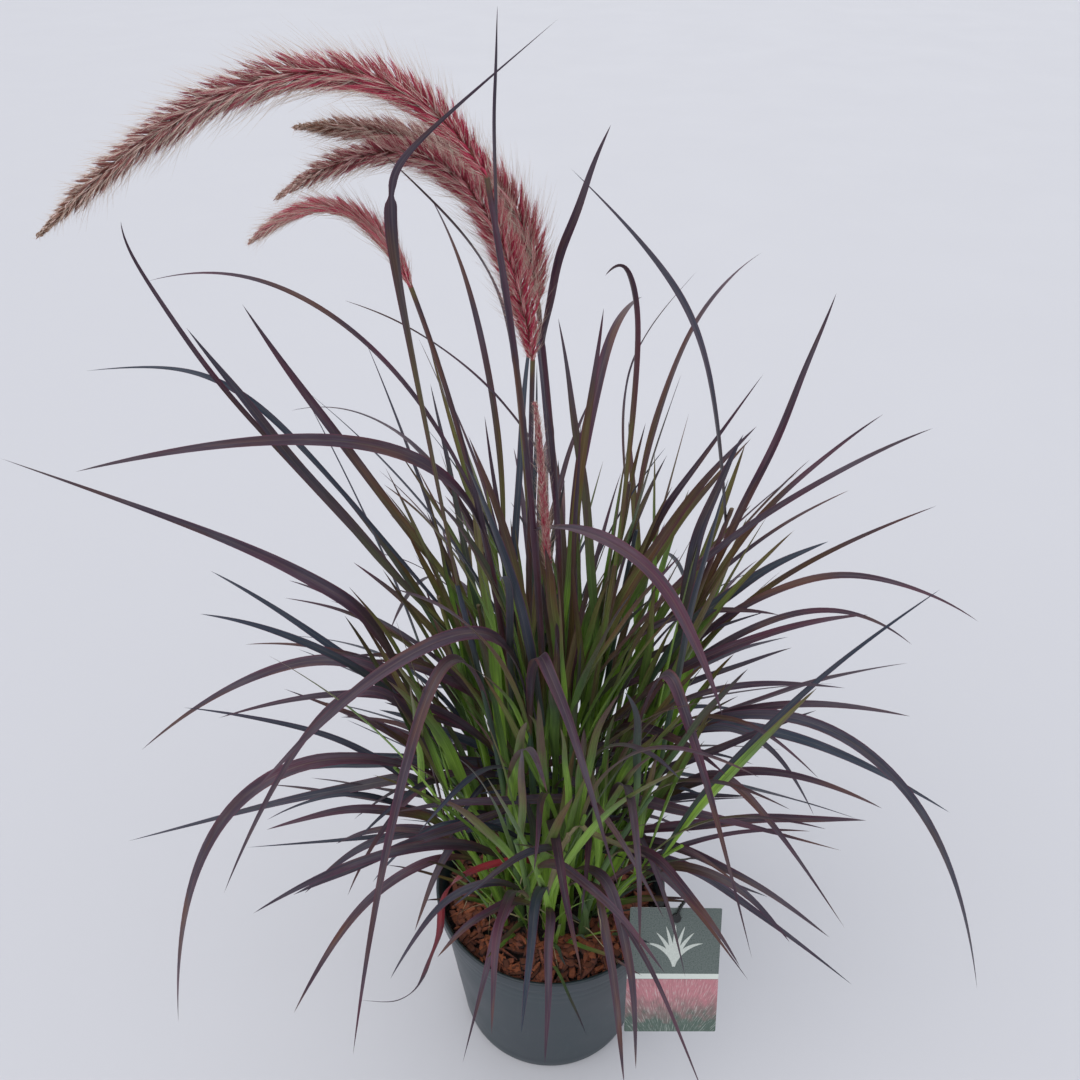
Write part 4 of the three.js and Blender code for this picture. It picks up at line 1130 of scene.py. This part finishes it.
def lathe(profile, segments):
    """A profile of radius and height carried round the Z axis. Its ends lie on the axis, where each
    closes in one point. Returns points and polygons."""
    profile = np.asarray(profile, float)
    turn = 2 * np.pi * np.arange(segments) / segments
    radius, height = profile[1:-1, :1], profile[1:-1, 1:]
    rings = np.stack(np.broadcast_arrays(radius * np.cos(turn), radius * np.sin(turn), height), -1)
    points = np.concatenate([rings.reshape(-1, 3), [[0, 0, profile[0, 1]], [0, 0, profile[-1, 1]]]])
    side = np.arange(segments)
    after = (side + 1) % segments
    foot, end = len(points) - 2, len(points) - 1
    last = (len(radius) - 1) * segments
    under = np.stack([after, side, 0 * side + foot], -1)
    over = np.stack([last + side, last + after, 0 * side + end], -1)
    return points, [ring_quads(len(radius), segments), under, over]


def wall_radius(z):
    """The pot's outer radius below its rim band."""
    return FOOT_RADIUS + (RIM_RADIUS - RIM_BAND_STEP - FOOT_RADIUS) * z / POT_TOP


def rounding(radius, z, size, start, end, count):
    """Places of radius and height on a round edge of a size about a middle, between two angles in
    degrees."""
    turn = np.radians(np.linspace(start, end, count))
    return [(radius + size * math.cos(a), z + size * math.sin(a)) for a in turn]


def pot_profile():
    """The pot's outline from the middle of its underside up its outer wall, over its rolled rim and down
    inside, with a stepped band at the rim, shallow ridges under it and near the foot, and a rounded
    foot."""
    band = POT_TOP - RIM_BAND_HEIGHT
    outline = [(0, 1.2 * MM), (70 * MM, 1.2 * MM), (72 * MM, 0)]
    outline += rounding(FOOT_RADIUS - FOOT_ROUNDING, FOOT_ROUNDING, FOOT_ROUNDING, -90, -5, 6)
    for z in np.arange(8, 158, 3) * MM:
        ridge = sum(depth * math.exp(-(((z - middle) / width) ** 2)) for middle, width, depth in POT_RIDGES)
        outline.append((wall_radius(z) + ridge, z))
    outline.append((wall_radius(band), band - 0.6 * MM))
    outline += [(RIM_RADIUS - 1.4 * MM, band), (RIM_RADIUS - 0.7 * MM, band + 0.8 * MM)]
    outline += [(RIM_RADIUS - 0.5 * MM, band + 5 * MM), (RIM_RADIUS - 0.2 * MM, POT_TOP - 4 * MM)]
    outline += rounding(RIM_RADIUS - RIM_ROLL, POT_TOP - RIM_ROLL, RIM_ROLL, -20, 180, 10)
    outline += [(RIM_RADIUS - 4.4 * MM, POT_TOP - 3 * MM), (RIM_RADIUS - 4.8 * MM, band)]
    outline.append((wall_radius(band) - POT_WALL, band - 2 * MM))
    outline += [(wall_radius(z) - POT_WALL, z) for z in np.linspace(SOIL_TOP, POT_FLOOR + 3 * MM, 12)]
    outline += [(wall_radius(0) - POT_WALL - 3 * MM, POT_FLOOR), (0, POT_FLOOR)]
    return outline


# Painted shade for the top of the rim and its inner lip
PAINTED_RIM_SHADE = (0.006, 0.012, 0.015, 1)


def pot_finish(settings):
    """Pot: dark slate plastic with a fine moulded grain, dust in soft clouds, faint upright scuffs, and
    painted shade darkening the top of the rim."""
    finish = Finish("pot_plastic")
    place = finish.place()
    clouds = finish.noise(place, 14, 4.0)
    scuffs = finish.noise(finish.scaled(place, (260, 260, 9)), 1.0, 3.0)
    grain = finish.noise(place, 1500, 2.0)
    height = finish.add("SeparateXYZ", {"Vector": place}).outputs["Z"]
    body = finish.mix(finish.ranged(clouds, 0.35, 0.75, 0.0, 0.55), settings.plastic, settings.plastic_worn)
    body = finish.mix(finish.ranged(scuffs, 0.6, 0.8, 0.0, 0.35), body, settings.plastic_worn)
    # Painted shade: from 168 mm up, the rim is darkened towards near-black
    body = finish.mix(finish.ranged(height, 0.168, 0.176, 0.0, 0.7), body, PAINTED_RIM_SHADE)
    finish.surface(Base_Color=body, Roughness=finish.ranged(clouds, 0.3, 0.7, 0.34, 0.5))
    finish.bump(grain, 0.12, 0.1 * MM)
    return finish


def drills():
    """Rods through the floor, one for each drain hole. Returns points and polygons."""
    low, high = -3 * MM, 6 * MM
    rod, faces = lathe([(0, low), (DRAIN_RADIUS, low), (DRAIN_RADIUS, high), (0, high)], 32)
    places = DRAIN_CIRCLE * level_way(2 * np.pi * np.arange(DRAIN_HOLES) / DRAIN_HOLES)
    return joined([(rod + place, faces) for place in places])


class GRASS_OT_pot(bpy.types.Operator):
    """Finish the pot"""

    bl_idname = "grass.pot"
    bl_label = "Pot"

    def execute(self, context):
        finish = pot_finish(context.scene.grass_pot)
        points, polygons = lathe(pot_profile(), 160)
        piece = new_piece("pot_finish", points, polygons, finish, "pot", ["pot"], sharp=40)
        drill = new_piece("drain_drills", *drills(), finish, "pot")
        cut = piece.modifiers.new("drain_holes", "BOOLEAN")
        cut.object = drill
        cut.solver = "EXACT"
        bored = bpy.data.meshes.new_from_object(piece.evaluated_get(context.evaluated_depsgraph_get()))
        piece.modifiers.clear()
        piece.data = bored
        bpy.data.objects.remove(drill)
        return {"FINISHED"}


def peat_finish(settings):
    """Peat: near-black brown, crumbly, with paler fibres."""
    finish = Finish("peat")
    place = finish.place()
    crumbs = finish.cells(place, 380)
    clouds = finish.noise(place, 90, 5.0, 0.65)
    body = finish.mix(finish.ranged(clouds, 0.35, 0.7), settings.peat, settings.bark_dark)
    body = finish.mix(finish.ranged(crumbs, 0.0, 0.5, 0.5, 0.0), body, settings.bark_red)
    finish.surface(Base_Color=body, Roughness=finish.ranged(clouds, 0.3, 0.7, 0.85, 0.98))
    finish.bump(finish.maths("ADD", clouds, crumbs), 0.8, 1.2 * MM)
    return finish


def soil_height(radius):
    """The height of the growing medium at a distance from the pot's axis."""
    return SOIL_TOP + SOIL_MOUND * np.maximum(0, 1 - (radius / BARK_INNER_RADIUS) ** 2)


class GRASS_OT_growing_medium(bpy.types.Operator):
    """Finish the growing medium"""

    bl_idname = "grass.growing_medium"
    bl_label = "Growing Medium"

    def execute(self, context):
        finish = peat_finish(context.scene.grass_pot)
        inside, foot = (wall_radius(z) - POT_WALL - SOIL_GAP for z in (SOIL_TOP, POT_FLOOR))
        top = [(radius, float(soil_height(radius))) for radius in np.linspace(inside, 0, 60)]
        points, polygons = lathe([(0, POT_FLOOR + 0.3 * MM), (foot, POT_FLOOR + 0.3 * MM), *top], 180)
        draw = np.random.default_rng(11)
        upper = (points[:, 2] > 0.1) & (np.hypot(points[:, 0], points[:, 1]) < inside - 2 * MM)
        points[upper, 2] += draw.normal(0, SOIL_CRUMB, upper.sum())
        new_piece("growing_medium_finish", points, polygons, finish, "growing_medium", ["growing_medium"])
        return {"FINISHED"}


def bark_finish(settings):
    """Bark: red-brown chips with dark old sides and paler splits along the grain."""
    finish = Finish("bark_chips")
    wear, tone, _ = finish.traits()
    grain = finish.noise(finish.scaled(finish.uv(), (700, 90, 1)), 1.0, 4.0, 0.6)
    clouds = finish.noise(finish.place(), 160, 4.0)
    stops = [(0.1, settings.bark_dark), (0.5, settings.bark_red), (0.95, settings.bark_light)]
    shade = finish.maths("MULTIPLY_ADD", grain, 1.1, finish.maths("MULTIPLY_ADD", tone, 0.7, -0.4))
    body = finish.ramp(shade, stops)
    body = finish.mix(finish.ranged(clouds, 0.5, 0.75, 0.0, 0.6), body, settings.bark_dark)
    body = finish.mix(finish.ranged(wear, 0.55, 1.0, 0.0, 0.35), body, settings.bark_light)
    finish.surface(Base_Color=body, Roughness=finish.ranged(grain, 0.3, 0.7, 0.7, 0.92))
    finish.bump(finish.maths("ADD", grain, clouds), 0.7, 0.6 * MM)
    return finish


def turned(points, angle, first, second):
    """Points turned by angles in the plane of two axes: first becomes first cos + second sin, and second
    becomes second cos - first sin."""
    cos, sin = np.cos(angle)[:, None], np.sin(angle)[:, None]
    moved = points.copy()
    moved[..., first] = points[..., first] * cos + points[..., second] * sin
    moved[..., second] = points[..., second] * cos - points[..., first] * sin
    return moved


def chip_skin(count, size, place, turn, tilt, draw):
    """Many bark chips. A chip is a rounded slab: its point (u, v) is at the signed powers |cos|^0.5 and
    |sin|^0.5 of both angles, times half its length, width and thickness, pushed about a little, then
    tilted, turned and put in place. Returns points, polygons, UV pairs and traits."""
    rings, sides = 5, 8
    v = np.pi * (np.arange(rings) + 0.6) / (rings + 0.2) - np.pi / 2
    u = 2 * np.pi * (np.arange(sides) + 0.5) / sides

    def squared(value):
        """The signed square root."""
        return np.sign(value) * np.abs(value) ** 0.5

    x = squared(np.sin(v))[:, None] * np.ones(sides)
    y = squared(np.cos(v))[:, None] * squared(np.cos(u))
    z = squared(np.cos(v))[:, None] * squared(np.sin(u))
    form = np.concatenate([np.stack([x, y, z], -1).reshape(-1, 3), [[1.08, 0, 0]]])
    body = form[None] * size[:, None] / 2
    body = body * (1 + draw.normal(0, 0.12, (count, len(form), 1)))
    body[..., 1] *= 1 - draw.uniform(0, 0.55, (count, 1)) * (form[None, :, 0] > 0.2)
    uv = body[..., :2].reshape(-1, 2).copy()
    wear = np.broadcast_to(np.abs(form[:, 2]), (count, len(form))).ravel()
    tone = np.repeat(draw.random(count), len(form))
    points = (turned(turned(body, tilt, 0, 2), turn, 1, 0) + place[:, None]).reshape(-1, 3)
    return points, tube_polygons(count, rings, sides), uv, np.stack([wear, tone, tone], -1)


# The ring of chips: where it begins, the gap at the wall, and from where and over what it grows deep
CHIPS_FROM = 46 * MM
CHIPS_GAP = 3 * MM
CHIPS_DEEP_FROM = 52 * MM
CHIPS_DEEP_OVER = 18 * MM
# The least and most of a chip's width and of its thickness, in millimetres
CHIP_WIDTH = (1.6, 7.5)
CHIP_THICKNESS = (1.2, 3.4)


class GRASS_OT_bark(bpy.types.Operator):
    """Finish the bark on top of the pot"""

    bl_idname = "grass.bark"
    bl_label = "Bark"

    def execute(self, context):
        settings = context.scene.grass_pot
        draw = np.random.default_rng(5)
        count = settings.chips
        outer = wall_radius(SOIL_TOP) - POT_WALL - CHIPS_GAP
        spans = (((0.35, 1.5), settings.chip_length), (CHIP_WIDTH, MM), (CHIP_THICKNESS, MM))
        size = np.stack([draw.uniform(*span, count) * scale for span, scale in spans], -1)
        radius = np.sqrt(draw.uniform(CHIPS_FROM**2, (outer - 2 * MM) ** 2, count))
        radius = np.minimum(radius, outer - 0.3 * size[:, 0])
        bearing = draw.uniform(0, 2 * np.pi, count)
        depth = np.clip((radius - CHIPS_DEEP_FROM) / CHIPS_DEEP_OVER, 0, 1)
        height = soil_height(radius) + (1 + 7 * depth * draw.random(count) ** 0.7) * MM
        place = radius[:, None] * level_way(bearing) + height[:, None] * np.array([0, 0, 1.0])
        turn, tilt = draw.uniform(0, 2 * np.pi, count), draw.normal(0, 0.3, count)
        points, polygons, uv, traits = chip_skin(count, size, place, turn, tilt, draw)
        finish = bark_finish(settings)
        new_piece("bark_mulch_finish", points, polygons, finish, "bark", ["bark_mulch"], uv, traits, 35)
        return {"FINISHED"}


CARD_SIZE = (78 * MM, 106 * MM)
CARD_THICKNESS = 0.8 * MM
CARD_TILT = math.radians(33)
CARD_YAW = math.radians(6)
CARD_ROLL = math.radians(-6)
CARD_CENTRE = np.array([102, -94, 182]) * MM
CARD_CORNER = 1.2 * MM
CARD_HOLE_RADIUS = 2.6 * MM
CARD_HOLE_DROP = 8 * MM


# Where the ridged tie runs, in millimetres across the card, up it and out of it: from the hook's head
# over the card's top edge and back down behind it
TIE_STOPS = [
    (0, 45, 1.4), (0.4, 48, 2.8), (1.8, 52, 3), (4.5, 56.2, 1.8), (7, 57.6, -1.5), (6.5, 55, -4.5),
    (2.5, 49, -4.8), (0, 45, -4),
]
TIE_RADIUS = 1.25 * MM
TIE_RINGS = 120
TIE_SIDES = 10
MOTIF_STROKES = 7


def on_card(across, up, out):
    """Places on the card: across it and up it from its middle, and out from its back towards its printed
    face."""
    level = np.array([math.cos(CARD_YAW), math.sin(CARD_YAW), 0])
    ahead = np.array([math.sin(CARD_YAW), -math.cos(CARD_YAW), 0])
    top = np.array([0, 0, 1])
    face = ahead * math.cos(CARD_TILT) + top * math.sin(CARD_TILT)
    climb = top * math.cos(CARD_TILT) - ahead * math.sin(CARD_TILT)
    side = level * math.cos(CARD_ROLL) + climb * math.sin(CARD_ROLL)
    rise = climb * math.cos(CARD_ROLL) - level * math.sin(CARD_ROLL)
    values = np.stack(np.broadcast_arrays(across, up, out), -1)
    return CARD_CENTRE + values[..., :1] * side + values[..., 1:2] * rise + values[..., 2:] * face


def card_finish(settings):
    """Card: a slate upper half, a plain pale bar across, and below it a soft spray of rose strokes over
    green ones, that spread from a point under the card's foot, all printed on satin plastic, with a pale
    back and edge."""
    finish = Finish("label_print")
    place = finish.add("SeparateXYZ", {"Vector": finish.uv()}).outputs
    across, up = place["X"], place["Y"]
    turn = finish.maths("ARCTAN2", across, finish.maths("ADD", up, 0.085))
    spray = finish.add("CombineXYZ", {"X": turn, "Y": up}).outputs["Vector"]
    streaks = finish.noise(finish.scaled(spray, (55, 130, 1)), 1.0, 4.0, 0.65)
    fans = finish.noise(finish.scaled(finish.uv(), (130, 130, 1)), 1.0, 3.0)
    level = finish.maths("MULTIPLY_ADD", fans, 0.03, up)
    picture = finish.mix(finish.ranged(level, -0.03, -0.005), settings.picture_green, settings.picture_rose)
    picture = finish.mix(finish.ranged(streaks, 0.52, 0.7, 0.0, 0.5), picture, settings.print_pale)
    picture = finish.mix(finish.ranged(streaks, 0.45, 0.3, 0.0, 0.6), picture, settings.picture_green)
    ground = finish.noise(finish.uv(), 900, 2.0)
    slate = finish.mix(finish.ranged(ground, 0.3, 0.7, 0.0, 0.12), settings.card, settings.card_edge)
    front = finish.mix(finish.maths("GREATER_THAN", up, -0.008), picture, slate)
    bar = finish.maths("COMPARE", up, -0.0055, 0.0022)
    front = finish.mix(bar, front, settings.print_pale)
    printed = finish.traits()[0]
    finish.surface(Base_Color=finish.mix(printed, settings.card_edge, front))
    finish.surface(Roughness=finish.ranged(ground, 0.3, 0.7, 0.26, 0.4))
    finish.bump(ground, 0.05, 0.1 * MM)
    return finish


def rounded_outline(half_width, half_height, corner, steps):
    """The outline of a rectangle with round corners, anticlockwise."""
    turn = np.radians(np.linspace(0, 90, steps))
    quarter = np.stack([np.cos(turn), np.sin(turn)], -1) * corner
    sides = [((1, 1), 0), ((-1, 1), 90), ((-1, -1), 180), ((1, -1), 270)]
    outline = []
    for (x, y), degrees in sides:
        cos, sin = math.cos(math.radians(degrees)), math.sin(math.radians(degrees))
        bend = quarter @ np.array([[cos, sin], [-sin, cos]])
        outline.append(bend + [x * (half_width - corner), y * (half_height - corner)])
    return np.concatenate(outline)


def card_skin():
    """The card between its outline and its round hole. From the hole's edge to the outline the two loops
    are mixed in rings, front and back, and both faces are joined at the outline and in the hole."""
    outline = rounded_outline(CARD_SIZE[0] / 2, CARD_SIZE[1] / 2, CARD_CORNER, 8)
    eye = np.array([0, CARD_SIZE[1] / 2 - CARD_HOLE_DROP])
    hole = eye + unit(outline - eye) * CARD_HOLE_RADIUS
    mixes = np.concatenate([np.linspace(0, 0.97, 10), [1.0]])[:, None, None]
    sheet = hole + (outline - hole) * mixes
    loops = np.concatenate([sheet, sheet[::-1]])
    out = np.concatenate([np.full(len(sheet), CARD_THICKNESS), np.zeros(len(sheet))])
    points = on_card(loops[..., 0], loops[..., 1], out[:, None])
    rings, sides = loops.shape[:2]
    quads = ring_quads(rings + 1, sides)[..., [0, 3, 2, 1]] % (rings * sides)
    printed = np.repeat(out > 0, sides).astype(float)
    return points.reshape(-1, 3), [quads], loops.reshape(-1, 2), np.stack([printed, printed, printed], -1)


def motif_skin():
    """A plain motif for the card: a fan of arching strokes, each a ribbon that tapers to its point and
    lies a little higher than the one before it. Returns points and polygons."""
    t = np.linspace(0, 1, 18)
    half = 1.7 * MM * np.sin(np.pi * np.minimum(1, 0.2 + 0.8 * t)) ** 0.8 + 0.05 * MM
    back = CARD_THICKNESS - 0.1 * MM
    strokes = []
    for number, lean in enumerate(np.linspace(-1, 1, MOTIF_STROKES)):
        middle = np.stack([lean * 24 * MM * t**1.5, 3 * MM + 36 * MM * (t - 0.45 * lean**2 * t**2)], -1)
        along = unit(np.gradient(middle, axis=0))
        aside = np.stack([along[:, 1], -along[:, 0]], -1) * half[:, None]
        corners = np.stack([middle + aside, middle - aside, middle - aside, middle + aside], 1)
        front = CARD_THICKNESS + (0.1 + 0.03 * number) * MM
        ring = on_card(corners[..., 0], corners[..., 1], np.array([front, front, back, back]))
        strokes.append((ring.reshape(-1, 3), tube_polygons(1, len(t), 4, pointed=False)))
    return joined(strokes)


def tie_skin():
    """The ridged tie: a tube along the curve through its stops, its radius times 1 + 0.16 sin of forty
    half turns. Returns points and polygons."""
    middle = smooth_route(TIE_STOPS, TIE_RINGS) * MM
    aim = unit(np.gradient(middle, axis=0))
    side = unit(np.cross(aim, (0.3, 0.1, 1)))
    radius = TIE_RADIUS * (1 + 0.16 * np.sin(np.linspace(0, 40 * np.pi, TIE_RINGS)))
    points = middle[:, None] + radius[:, None, None] * spokes(TIE_SIDES, side, np.cross(side, aim))
    return on_card(*points.reshape(-1, 3).T), tube_polygons(1, TIE_RINGS, TIE_SIDES, pointed=False)


def worn_finish(name, tint, worn, grain, wear, roughest):
    """A plain colour, with wear in fine clouds between a low and a high and of a greatest strength.
    Returns the material and its clouds."""
    finish = Finish(name)
    clouds = finish.noise(finish.place(), grain, 3.0)
    low, high, most = wear
    finish.surface(Base_Color=finish.mix(finish.ranged(clouds, low, high, 0.0, most), tint, worn))
    finish.surface(Roughness=finish.ranged(clouds, 0.3, 0.7, 0.3, roughest))
    return finish, clouds


class GRASS_OT_label(bpy.types.Operator):
    """Finish the label card and its hook, and add the ridged tie between them"""

    bl_idname = "grass.label"
    bl_label = "Label"

    def execute(self, context):
        settings = context.scene.grass_label
        points, polygons, uv, traits = card_skin()
        finish = card_finish(settings)
        new_piece("label_card_finish", points, polygons, finish, "card", ["label_card"], uv, traits, 30)
        ink, _ = worn_finish("label_ink", settings.print_pale, settings.card, 900, (0.3, 0.7, 0.25), 0.45)
        new_piece("label_motif", *motif_skin(), ink, "card", sharp=30)
        hook, scuffs = worn_finish("hook_plastic", settings.hook, settings.card, 700, (0.5, 0.8, 0.15), 0.5)
        hook.bump(scuffs, 0.1, 0.1 * MM)
        new_piece("label_tie", *tie_skin(), hook, "hook", sharp=60)
        points, faces = welded("label_hook")
        piece = new_piece("label_hook_finish", points, [faces], hook, "hook", ["label_hook"], sharp=35)
        bevel = piece.modifiers.new("soft_edges", "BEVEL")
        bevel.width = 0.3 * MM
        bevel.segments = 2
        bevel.limit_method = "ANGLE"
        return {"FINISHED"}


def soft_light(name, source, strength, softness, tint):
    """A wide, distant light that shines from a place towards the plant."""
    data = bpy.data.lights.new(name, "SUN")
    data.energy = strength
    data.angle = softness
    data.color = tint
    light = bpy.data.objects.new(name, data)
    bpy.context.scene.collection.objects.link(light)
    east, north, up = source
    tilt = math.atan2(math.hypot(east, north), up)
    light.rotation_euler = (tilt, 0, math.atan2(-north, -east) - math.pi / 2)


FLOOR_REACH = 60


class GRASS_OT_studio(bpy.types.Operator):
    """Build the floor, the light and the camera"""

    bl_idname = "grass.studio"
    bl_label = "Studio"

    def execute(self, context):
        settings = context.scene.grass_studio
        scene = context.scene
        mesh = bpy.data.meshes.new("studio_floor")
        corners = [(x * FLOOR_REACH, y * FLOOR_REACH, 0) for x, y in ((-1, -1), (1, -1), (1, 1), (-1, 1))]
        mesh.from_pydata(corners, [], [(0, 1, 2, 3)])
        finish = Finish("floor_paint")
        clouds = finish.noise(finish.place(), 3, 3.0)
        finish.surface(Base_Color=settings.floor, Roughness=finish.ranged(clouds, 0.3, 0.7, 0.55, 0.7))
        mesh.materials.append(finish.material)
        floor = bpy.data.objects.new("studio_floor", mesh)
        scene.collection.objects.link(floor)
        world = bpy.data.worlds.new("studio_sky")
        world.use_nodes = True
        sky = world.node_tree.nodes["Background"]
        sky.inputs["Color"].default_value = settings.sky
        sky.inputs["Strength"].default_value = settings.sky_strength
        scene.world = world
        scene.view_settings.view_transform = "Standard"
        wide = settings.softness
        soft_light("key_light", (-1.6, -1.4, 2.6), settings.key, wide, (1.0, 0.98, 0.95))
        soft_light("fill_light", (2.2, -1.2, 1.8), settings.fill, wide, (0.95, 0.98, 1.0))
        soft_light("back_light", (0.4, 2.4, 2.4), settings.fill, wide, (1.0, 1.0, 1.0))
        camera = bpy.data.objects.new("camera", bpy.data.cameras.new("camera"))
        scene.collection.objects.link(camera)
        camera.location = CAMERA_PLACE
        camera.rotation_euler = (CAMERA_PITCH, 0, 0)
        camera.data.lens = CAMERA_LENS
        camera.data.sensor_width = CAMERA_SENSOR
        scene.camera = camera
        return {"FINISHED"}


OPERATORS = (
    GRASS_OT_studio,
    GRASS_OT_pot,
    GRASS_OT_growing_medium,
    GRASS_OT_bark,
    GRASS_OT_stems,
    GRASS_OT_inner_blades,
    GRASS_OT_low_blades,
    GRASS_OT_shoots,
    GRASS_OT_stray_blades,
    GRASS_OT_plumes,
    GRASS_OT_label,
)
SETTINGS = {
    "grass_pot": GrassPotSettings,
    "grass_foliage": GrassFoliageSettings,
    "grass_plume": GrassPlumeSettings,
    "grass_label": GrassLabelSettings,
    "grass_studio": GrassStudioSettings,
}


class GRASS_PT_panel(bpy.types.Panel):
    """The plant's pieces, and the sizes and colours they take"""

    bl_idname = "GRASS_PT_panel"
    bl_label = "Potted Fountain Grass"
    bl_space_type = "VIEW_3D"
    bl_region_type = "UI"
    bl_category = "Grass"

    def draw(self, context):
        for operator in OPERATORS:
            self.layout.operator(operator.bl_idname)
        for name, settings in SETTINGS.items():
            box = self.layout.box()
            box.label(text=settings.__doc__)
            for prop in settings.__annotations__:
                box.prop(getattr(context.scene, name), prop)


def register():
    for each in (*SETTINGS.values(), *OPERATORS, GRASS_PT_panel):
        bpy.utils.register_class(each)
    for name, settings in SETTINGS.items():
        setattr(bpy.types.Scene, name, PointerProperty(type=settings))


def unregister():
    for name in SETTINGS:
        delattr(bpy.types.Scene, name)
    for each in (GRASS_PT_panel, *reversed(OPERATORS), *reversed(tuple(SETTINGS.values()))):
        bpy.utils.unregister_class(each)


def main():
    """Registers the add-on and makes every piece."""
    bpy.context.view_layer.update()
    register()
    for operator in OPERATORS:
        group, name = operator.bl_idname.split(".")
        getattr(getattr(bpy.ops, group), name)()


if __name__ == "__main__":
    main()
